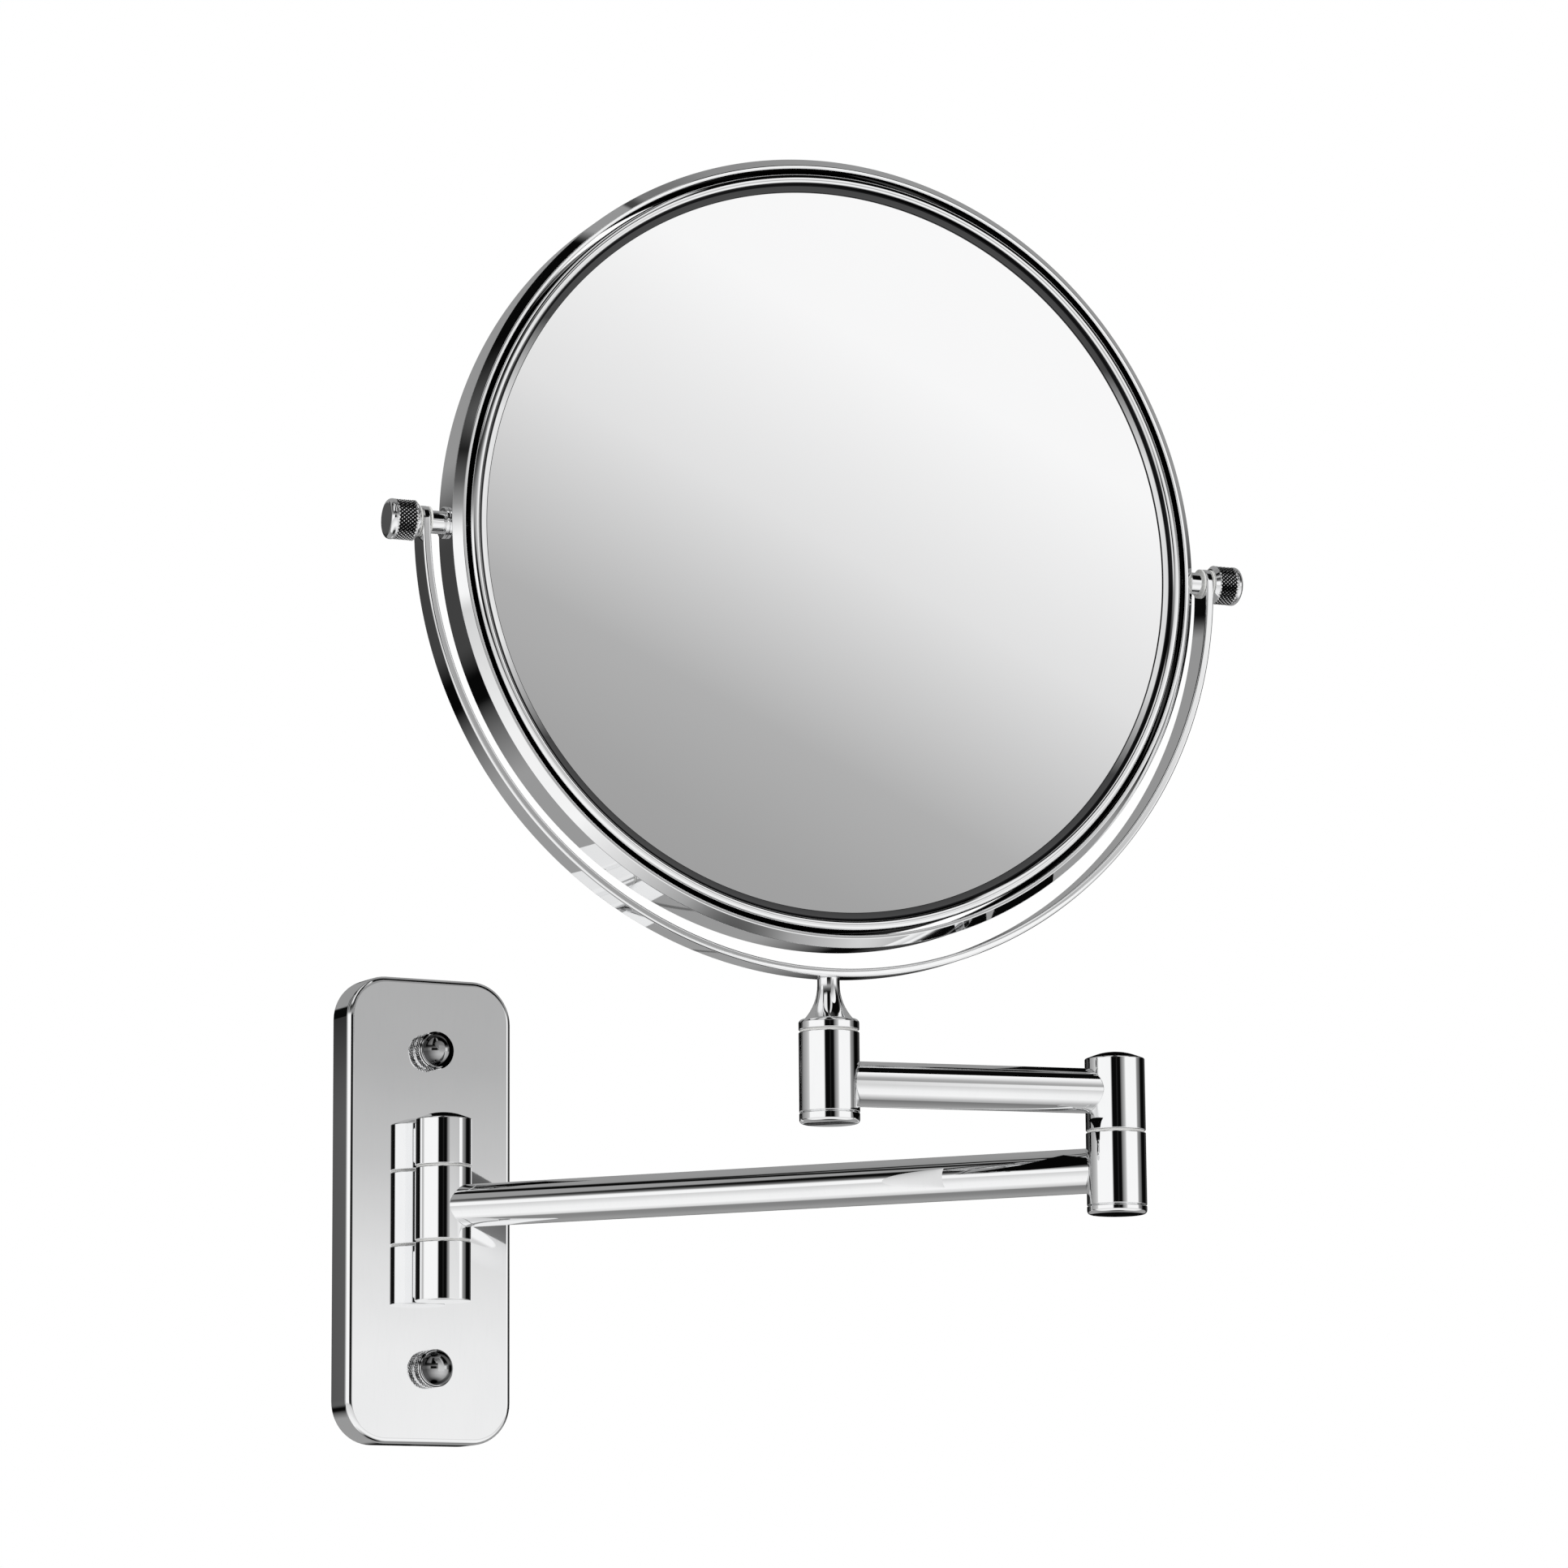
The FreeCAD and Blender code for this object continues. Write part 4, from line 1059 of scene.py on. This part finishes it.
def bezel_line(size, face):
    """The bezel's section: a thin lip on the glass, a slope up to a round bead, and a skirt into the drum."""
    outside, near, lip = bezel_radii(size)
    inside = outside - size.skirt_wall
    foot = face + 2 * size.lip_thick
    end = 1.2 * MM
    half = (outside - near) / 2
    middle = (outside + near) / 2
    rise = size.bezel_rise
    bow = (half**2 + rise**2) / (2 * rise)
    span = math.asin(half / bow)
    t = np.linspace(span, -span, 28)
    bead = np.stack([middle + bow * np.sin(t), foot + rise - bow + bow * np.cos(t)], axis=1)
    before = outline((inside, face), (inside, end), (outside, end, HIDDEN_EDGE), (outside, foot))
    after = outline(
        (near, foot), (lip, face + size.lip_thick, 0.12 * MM), (lip, face, 0.05 * MM), (inside, face)
    )
    return np.concatenate([before[:-1], bead, after[1:]])


class MIRROR_OT_glasses(bpy.types.Operator):
    """Make the plain front glass and the hollow magnifying glass at the rear"""

    bl_idname = "shaving_mirror.glasses"
    bl_label = "Glasses"

    def execute(self, context):
        size = context.scene.mirror_sizes
        face = glass_face()
        edge, thick = size.glass_edge, size.glass_thick
        line = outline(
            (0.0, face - thick),
            (GLASS_R, face - thick, edge),
            (GLASS_R, face, edge),
            (0.0, face),
        )
        flat = turned(line, MIRROR_CENTRE, TO_FRONT, size.rim_steps)
        make_piece("front_mirror", [flat], "mirror_glass", ["plain_glass"])

        ball = (GLASS_R**2 + size.dish**2) / (2 * size.dish)
        radius = np.linspace(0.0, GLASS_R, 25)
        hollow = np.sqrt(ball**2 - radius**2) - math.sqrt(ball**2 - GLASS_R**2)
        near = np.stack([radius, hollow - face], axis=1)
        far = np.stack([radius, hollow - face + thick], axis=1)[::-1]
        dished = turned(np.concatenate([near, far]), MIRROR_CENTRE, TO_FRONT, size.rim_steps)
        make_piece("rear_mirror", [dished], "mirror_glass", ["magnifying_glass"])
        return {"FINISHED"}


class MIRROR_OT_pivots(bpy.types.Operator):
    """Make the two turned pivots between the drum and the yoke"""

    bl_idname = "shaving_mirror.pivots"
    bl_label = "Pivots"

    def execute(self, context):
        size = context.scene.mirror_sizes
        soft = 0.15 * MM
        flange_r = (high("left_pivot")[2] - low("left_pivot")[2]) / 2
        washer = low("pivot_washers"), high("pivot_washers")
        shoulder = YOKE_R - size.yoke_thick - 0.55 * MM
        for side, node, corner in ((-1, "left_pivot", low), (1, "right_pivot", high)):
            tip = YOKE_R + 6.55 * MM
            tail = RIM_R - size.rim_wall - 2.5 * MM
            flange = RIM_R + size.flange_thick
            line = outline(
                (0.0, tail),
                (size.pivot_tail, tail, soft),
                (size.pivot_tail, RIM_R),
                (flange_r, RIM_R, soft),
                (flange_r, flange, 2 * soft),
                (size.pivot_neck, flange, soft),
                (size.pivot_neck, shoulder, soft),
                (size.pivot_stud, shoulder),
                (size.pivot_stud, tip, soft),
                (0.0, tip),
            )
            pivot = turned(line, MIRROR_CENTRE, side * TO_RIGHT, size.round_steps // 2)
            make_piece(node.replace("pivot", "turned_pivot"), [pivot], "polished_chrome", [node])
        return {"FINISHED"}


class MIRROR_OT_knobs(bpy.types.Operator):
    """Make the two thumb knobs, with diamond knurling between smooth ends"""

    bl_idname = "shaving_mirror.knobs"
    bl_label = "Knobs"

    def execute(self, context):
        size = context.scene.mirror_sizes
        bore = size.pivot_stud + HIDDEN_EDGE
        for side, node in ((-1, "left_knob"), (1, "right_knob")):
            near, end = knob_ends(node, side)
            axis = side * TO_RIGHT
            start = near + size.knob_chamfer
            stop = end - size.knob_round - size.knob_collar
            floor = near + 6.5 * MM
            band, steps = knurled(
                KNOB_R, start, stop, MIRROR_CENTRE, axis, size.knurl_pitch, size.knurl_depth
            )
            foot = outline(
                (0.0, floor),
                (bore, floor),
                (bore, near, HIDDEN_EDGE),
                (KNOB_R - size.knob_chamfer, near, 2 * HIDDEN_EDGE),
                (KNOB_R, start),
            )
            groove = 0.14 * MM
            crown = outline(
                (KNOB_R, stop),
                (KNOB_R - groove, stop + groove, 0.05 * MM),
                (KNOB_R, stop + 2 * groove, 0.05 * MM),
                (KNOB_R, end, size.knob_round),
                (0.0, end),
            )
            skins = [band, turned(foot, MIRROR_CENTRE, axis, steps), turned(crown, MIRROR_CENTRE, axis, steps)]
            make_piece(node.replace("knob", "thumb_knob"), skins, "knurled_chrome", [node])
        return {"FINISHED"}


def knob_ends(node, side):
    """Distances of a knob's two ends from the mirror's middle along the tilt axis, from its mesh's box."""
    corners = np.array([v.co for v in frame["nodes"][node].data.vertices]) - MIRROR_CENTRE
    along = corners @ (side * TO_RIGHT)
    return along.min(), along.max()


class MIRROR_OT_inner_parts(bpy.types.Operator):
    """Give the pins, bushes, screws, washers and other inner parts their finishes"""

    bl_idname = "shaving_mirror.inner_parts"
    bl_label = "Inner parts"

    def execute(self, context):
        shown = [node for node in frame["nodes"].values() if not node.hide_render]
        if not shown:
            raise RuntimeError("there are no inner parts to finish")
        for node in shown:
            for place in node.material_slots:
                place.material = finished(place.material.name.split(".")[0])
        return {"FINISHED"}


# ---- stage ---------------------------------------------------------------------------------------------------------
def linear(tone):
    """A display tone from 0 to 255 as light."""
    value = tone / 255.0
    return value / 12.92 if value <= 0.04045 else ((value + 0.055) / 1.055) ** 2.4


# Tones of the room that the bright metal reflects, by bearing in degrees: 0 is over the viewer's shoulder
# and positive is to the right.
WALLS = (
    (-180, 15), (-150, 15), (-146, 60), (-132, 70), (-128, 130), (-100, 175), (-88, 200), (-83, 252),
    (-24, 252), (-19, 10), (-3, 10), (0, 38), (3, 10), (13, 10), (17, 120), (29, 185), (35, 252),
    (80, 252), (86, 150), (102, 95), (106, 10), (134, 10), (137, 60), (180, 60),
)
# Tones above and below, by degrees from level, on the viewer's side and on the wall's side.
ABOVE_NEAR = ((8, 215), (14, 160), (20, 90), (26, 28), (30, 8), (72, 8), (80, 60), (90, 90))
ABOVE_FAR = ((8, 60), (13, 90), (18, 150), (60, 152), (80, 140), (90, 90))
BELOW_NEAR = ((5, 215), (12, 222), (30, 246), (50, 250), (62, 215), (72, 165), (77, 15), (90, 8))
BELOW_FAR = ((4, 20), (5, 8), (8, 8), (11, 100), (16, 155), (45, 155), (70, 126), (77, 15), (90, 8))
# Extra soft-edged cards: bearing, half width, lowest and highest edge, softness, tone.
CARDS = (
    (-130, 7, 7.2, 30, 1.0, 10), (-35, 16, 30, 80, 5, 235), (22, 9, 30, 80, 4, 225),
    (-72, 9.5, 15, 50, 1.5, 155), (-76, 10, 58, 84, 2, 152),
)
# Tones of the card that the front glass reflects, from its lower left to its upper right, as shares of the
# glass's radius from the middle.
GLASS_CARD = ((-1.3, 158), (-1.0, 160), (-0.8, 165), (-0.5, 178), (0.0, 228), (0.5, 250), (1.3, 254))
# Tones of the card that the wall plate reflects, by height in millimetres.
PLATE_CARD = ((-90, 246), (-30, 240), (0, 226), (30, 198), (60, 180), (110, 176))


class Studio(Nodes):
    """The world's node tree, with short ways to add its nodes."""

    def __init__(self, name):
        self.world = bpy.data.worlds.new(name)
        self.world.use_nodes = True
        self.tree = self.world.node_tree
        self.tree.nodes.clear()

    def step(self, value, start, end):
        """A smooth rise from 0 at start to 1 at end."""
        inputs = {"Value": value, "From Min": start, "From Max": end}
        return self.node("ShaderNodeMapRange", inputs, interpolation_type="SMOOTHSTEP").outputs["Result"]

    def mix(self, share_of_second, first, second):
        return self.node("ShaderNodeMix", {0: share_of_second, 2: first, 3: second}, data_type="FLOAT").outputs[0]


def studio_world(fill):
    """A plain studio: white to the camera, even to soft surfaces, and cards and dark gaps to bright metal."""
    studio = Studio("soft studio")
    way = studio.node("ShaderNodeTexCoord").outputs["Generated"]
    turn = studio.node("ShaderNodeVectorRotate", rotation_type="Z_AXIS")
    studio.feed(turn.inputs["Vector"], way)
    turn.inputs["Angle"].default_value = math.radians(114.8)
    parts = studio.node("ShaderNodeSeparateXYZ")
    studio.feed(parts.inputs[0], turn.outputs[0])
    bearing = studio.math("DEGREES", studio.math("ARCTAN2", parts.outputs[1], parts.outputs[0]))
    height = studio.math("DEGREES", studio.math("ARCSINE", parts.outputs[2]))
    depth = studio.math("MULTIPLY", height, -1.0)
    far = studio.step(studio.math("ABSOLUTE", bearing), 92.0, 108.0)
    above = studio.mix(far, studio.ramp(height, 0.0, 90.0, ABOVE_NEAR), studio.ramp(height, 0.0, 90.0, ABOVE_FAR))
    below = studio.mix(far, studio.ramp(depth, 0.0, 90.0, BELOW_NEAR), studio.ramp(depth, 0.0, 90.0, BELOW_FAR))
    tone = studio.ramp(bearing, -180.0, 180.0, WALLS)
    tone = studio.mix(studio.step(height, 8.0, 16.0), tone, above)
    tone = studio.mix(studio.step(depth, 1.5, 5.5), tone, below)
    for middle, half, bottom, top, soft, brightness in CARDS:
        aside = studio.math("ABSOLUTE", studio.math("SUBTRACT", bearing, middle))
        inside = studio.math("SUBTRACT", 1.0, studio.step(aside, half - soft, half + soft))
        over = studio.step(height, bottom - soft, bottom + soft)
        under = studio.math("SUBTRACT", 1.0, studio.step(height, top - soft, top + soft))
        cover = studio.math("MULTIPLY", inside, studio.math("MULTIPLY", over, under))
        tone = studio.mix(cover, tone, linear(brightness))
    ray = studio.node("ShaderNodeLightPath")
    tone = studio.mix(ray.outputs["Is Diffuse Ray"], tone, fill)
    tone = studio.mix(ray.outputs["Is Camera Ray"], tone, 1.0)
    background = studio.node("ShaderNodeBackground")
    studio.feed(background.inputs["Color"], tone)
    output = studio.node("ShaderNodeOutputWorld")
    studio.feed(output.inputs["Surface"], background.outputs[0])
    return studio.world


class MIRROR_OT_stage(bpy.types.Operator):
    """Set the pale floor, the soft light, the studio round the mirror and the camera"""

    bl_idname = "shaving_mirror.stage"
    bl_label = "Stage"

    def execute(self, context):
        scene = context.scene
        stage = scene.mirror_stage
        scene.view_settings.view_transform = "Standard"
        scene.world = studio_world(stage.fill)
        self.floor(scene, stage)
        self.glass_card(scene, stage)
        self.plate_card(scene)
        self.shades(scene)
        self.lamp(scene, stage)
        self.camera(scene, stage)
        return {"FINISHED"}

    def floor(self, scene, stage):
        """A round sheet, every point of which is at the floor's height."""
        angle = np.arange(96) * (2 * math.pi / 96)
        points = np.stack([np.cos(angle), np.sin(angle), np.zeros(96)], axis=1) * stage.floor_radius
        points[:, 2] = stage.floor_height
        mesh = bpy.data.meshes.new("floor")
        mesh.from_pydata(points, [], [list(range(96))])
        recipe = Recipe("pale floor")
        uneven = recipe.spread(recipe.noise(3.0, 2.0), 0.3, 0.7, 0.0, 1.0)
        paler = tuple(0.985 * value for value in stage.floor_colour)
        recipe.set(Base_Color=recipe.blend(uneven, stage.floor_colour, paler))
        recipe.set(Roughness=0.8)
        mesh.materials.append(recipe.material)
        floor = bpy.data.objects.new("floor", mesh)
        floor.visible_glossy = False
        scene.collection.objects.link(floor)

    def glass_card(self, scene, stage):
        """A round card in front of the mirror, square to the line on which the front glass shows it."""
        sight = unit(MIRROR_CENTRE - np.array(stage.camera_place))
        line = sight - 2 * (sight @ TO_FRONT) * TO_FRONT
        middle = MIRROR_CENTRE + 0.3 * line
        level = unit(np.cross(UP, sight))
        level = -(level - 2 * (level @ TO_FRONT) * TO_FRONT)
        rise = unit(UP - (UP @ line) * line)
        angle = np.arange(64) * (2 * math.pi / 64)
        points = middle + 0.135 * (np.cos(angle)[:, None] * level + np.sin(angle)[:, None] * rise)
        slope = (0.5 * level + 0.866 * rise) / (1.2 * GLASS_R)
        self.card(scene, "glass card", points, -line, slope, middle, GLASS_CARD)

    def plate_card(self, scene):
        """An upright card just behind the mirror head, facing the wall plate."""
        near = max(high(node)[1] for node in ("rim_band", "yoke_band", "left_knob", "right_knob"))
        y = near + 1.5 * MM
        points = np.array([(0.0, y, -0.09), (0.12, y, -0.09), (0.12, y, 0.115), (0.0, y, 0.115)])
        self.card(scene, "plate card", points, -OUT_OF_WALL, UP / MM, np.zeros(3), PLATE_CARD)

    def shades(self, scene):
        """Dark cards close to the joints: behind each domed barrel, under the short arm and behind the long one."""
        flat = ((0.0, 6), (1.0, 6))
        sight = unit((MIRROR_CENTRE - np.array(scene.mirror_stage.camera_place)) * (1, 1, 0))
        side = np.cross(sight, UP)
        for name, axis, node in (
            ("wall hinge shade", WALL_AXIS, "upper_wall_barrel"),
            ("elbow shade", ELBOW_AXIS, "upper_elbow_barrel"),
        ):
            foot = axis * (1, 1, 0) + UP * (high(node)[2] - 0.2 * MM) + sight * (BARREL_R - MM)
            wide, tall = 3.0 * BARREL_R * side, 34 * MM * UP
            points = np.array([foot - wide, foot + wide, foot + wide + tall, foot - wide + tall])
            self.card(scene, name, points, -sight, UP, np.zeros(3), flat)
        along = unit((HEAD_AXIS - ELBOW_AXIS) * (1, 1, 0))
        wide = 1.6 * ARM_R * np.cross(UP, along)
        drop = UP * (ARM_HEIGHT - 1.1 * ARM_R)
        start, end = ELBOW_AXIS + drop + 1.9 * BARREL_R * along, HEAD_AXIS + drop - 1.05 * BARREL_R * along
        points = np.array([start - wide, start + wide, end + wide, end - wide])
        self.card(scene, "short arm shade", points, -UP, UP, np.zeros(3), flat)
        along = unit((ELBOW_AXIS - WALL_AXIS) * (1, 1, 0))
        angle = np.linspace(-math.pi / 2, math.pi / 2, 17)
        spoke = np.cos(angle)[:, None] * np.cross(UP, along) + np.sin(angle)[:, None] * UP
        reach = np.array((1.6 * BARREL_R, 0.15))
        grid = WALL_AXIS + 9 * MM * UP + reach[:, None, None] * along + 10 * MM * spoke
        points, faces = merged(*skin(grid)[:2])
        self.hang(scene, "long arm sleeve", points, faces, UP, np.zeros(3), ((-0.001, 130), (0.009, 80), (0.019, 105)))

    def card(self, scene, name, points, faces, slope, zero, tones):
        """A flat card that shines the way that it faces."""
        order = np.arange(len(points))
        turn = np.cross(points[1] - points[0], points[2] - points[0]) @ faces
        self.hang(scene, name, points, [order if turn > 0 else order[::-1]], slope, zero, tones)

    def hang(self, scene, name, points, faces, slope, zero, tones):
        """A one-sided sheet that only bright metal shows, its tone following a slope across it."""
        mesh = bpy.data.meshes.new(name)
        mesh.from_pydata(points, [], [list(map(int, face)) for face in faces])
        recipe = Recipe(name)
        inputs = {0: recipe.place, 1: tuple(slope)}
        along = recipe.node("ShaderNodeVectorMath", inputs, operation="DOT_PRODUCT").outputs["Value"]
        along = recipe.math("SUBTRACT", along, float(slope @ zero))
        tone = recipe.ramp(along, tones[0][0], tones[-1][0], tones)
        back = recipe.node("ShaderNodeNewGeometry").outputs["Backfacing"]
        recipe.set(Base_Color=(0.0, 0.0, 0.0, 1.0), Roughness=1.0, Specular_IOR_Level=0.0)
        recipe.set(Emission_Color=tone, Emission_Strength=1.0)
        recipe.set(Alpha=recipe.math("SUBTRACT", 1.0, back))
        mesh.materials.append(recipe.material)
        card = bpy.data.objects.new(name, mesh)
        card.visible_camera = False
        card.visible_diffuse = False
        card.visible_shadow = False
        card.visible_transmission = False
        card.visible_volume_scatter = False
        scene.collection.objects.link(card)

    def lamp(self, scene, stage):
        light = bpy.data.lights.new("soft lamp", "AREA")
        light.shape = "DISK"
        light.size = 1.2
        light.energy = stage.lamp_power
        lamp = bpy.data.objects.new("soft lamp", light)
        lamp.location = (-0.7, -1.1, 1.4)
        lamp.rotation_mode = "QUATERNION"
        aim = MIRROR_CENTRE - np.array(lamp.location)
        lamp.rotation_quaternion = Vector(aim).to_track_quat("-Z", "Y")
        lamp.visible_glossy = False
        lamp.visible_camera = False
        scene.collection.objects.link(lamp)

    def camera(self, scene, stage):
        yaw, pitch, roll = stage.camera_yaw, stage.camera_pitch, stage.camera_roll
        ahead = np.array((-math.sin(yaw) * math.cos(pitch), math.cos(yaw) * math.cos(pitch), math.sin(pitch)))
        level = np.array((math.cos(yaw), math.sin(yaw), 0.0))
        above = np.cross(level, ahead)
        right = level * math.cos(roll) - above * math.sin(roll)
        up = level * math.sin(roll) + above * math.cos(roll)
        matrix = np.eye(4)
        matrix[:3, 0], matrix[:3, 1], matrix[:3, 2] = right, up, -ahead
        matrix[:3, 3] = stage.camera_place
        data = bpy.data.cameras.new("camera")
        data.lens = stage.camera_lens
        data.sensor_width = 36.0
        data.clip_start = 0.05
        data.clip_end = 50.0
        camera = bpy.data.objects.new("camera", data)
        camera.matrix_world = Matrix(matrix.tolist())
        scene.collection.objects.link(camera)
        scene.camera = camera


STEPS = (
    MIRROR_OT_stage,
    MIRROR_OT_wall_plate,
    MIRROR_OT_domed_nuts,
    MIRROR_OT_wall_hinge,
    MIRROR_OT_arms,
    MIRROR_OT_elbow,
    MIRROR_OT_head_joint,
    MIRROR_OT_yoke,
    MIRROR_OT_frame,
    MIRROR_OT_glasses,
    MIRROR_OT_pivots,
    MIRROR_OT_knobs,
    MIRROR_OT_inner_parts,
)


class MIRROR_PT_sidebar(bpy.types.Panel):
    """The steps that build the shaving mirror, in order"""

    bl_idname = "MIRROR_PT_sidebar"
    bl_label = "Shaving Mirror"
    bl_space_type = "VIEW_3D"
    bl_region_type = "UI"
    bl_category = "Shaving Mirror"

    def draw(self, context):
        for step in STEPS:
            self.layout.operator(step.bl_idname)


GROUPS = (
    ("mirror_sizes", ShavingMirrorSizes),
    ("mirror_finish", ShavingMirrorFinish),
    ("mirror_stage", ShavingMirrorStage),
)


def register():
    for name, group in GROUPS:
        bpy.utils.register_class(group)
        setattr(bpy.types.Scene, name, PointerProperty(type=group))
    for entry in (*STEPS, MIRROR_PT_sidebar):
        bpy.utils.register_class(entry)


def unregister():
    for entry in (MIRROR_PT_sidebar, *reversed(STEPS)):
        bpy.utils.unregister_class(entry)
    for name, group in reversed(GROUPS):
        delattr(bpy.types.Scene, name)
        bpy.utils.unregister_class(group)


def main():
    register()
    for step in STEPS:
        family, name = step.bl_idname.split(".")
        getattr(getattr(bpy.ops, family), name)()


if __name__ == "__main__":
    main()
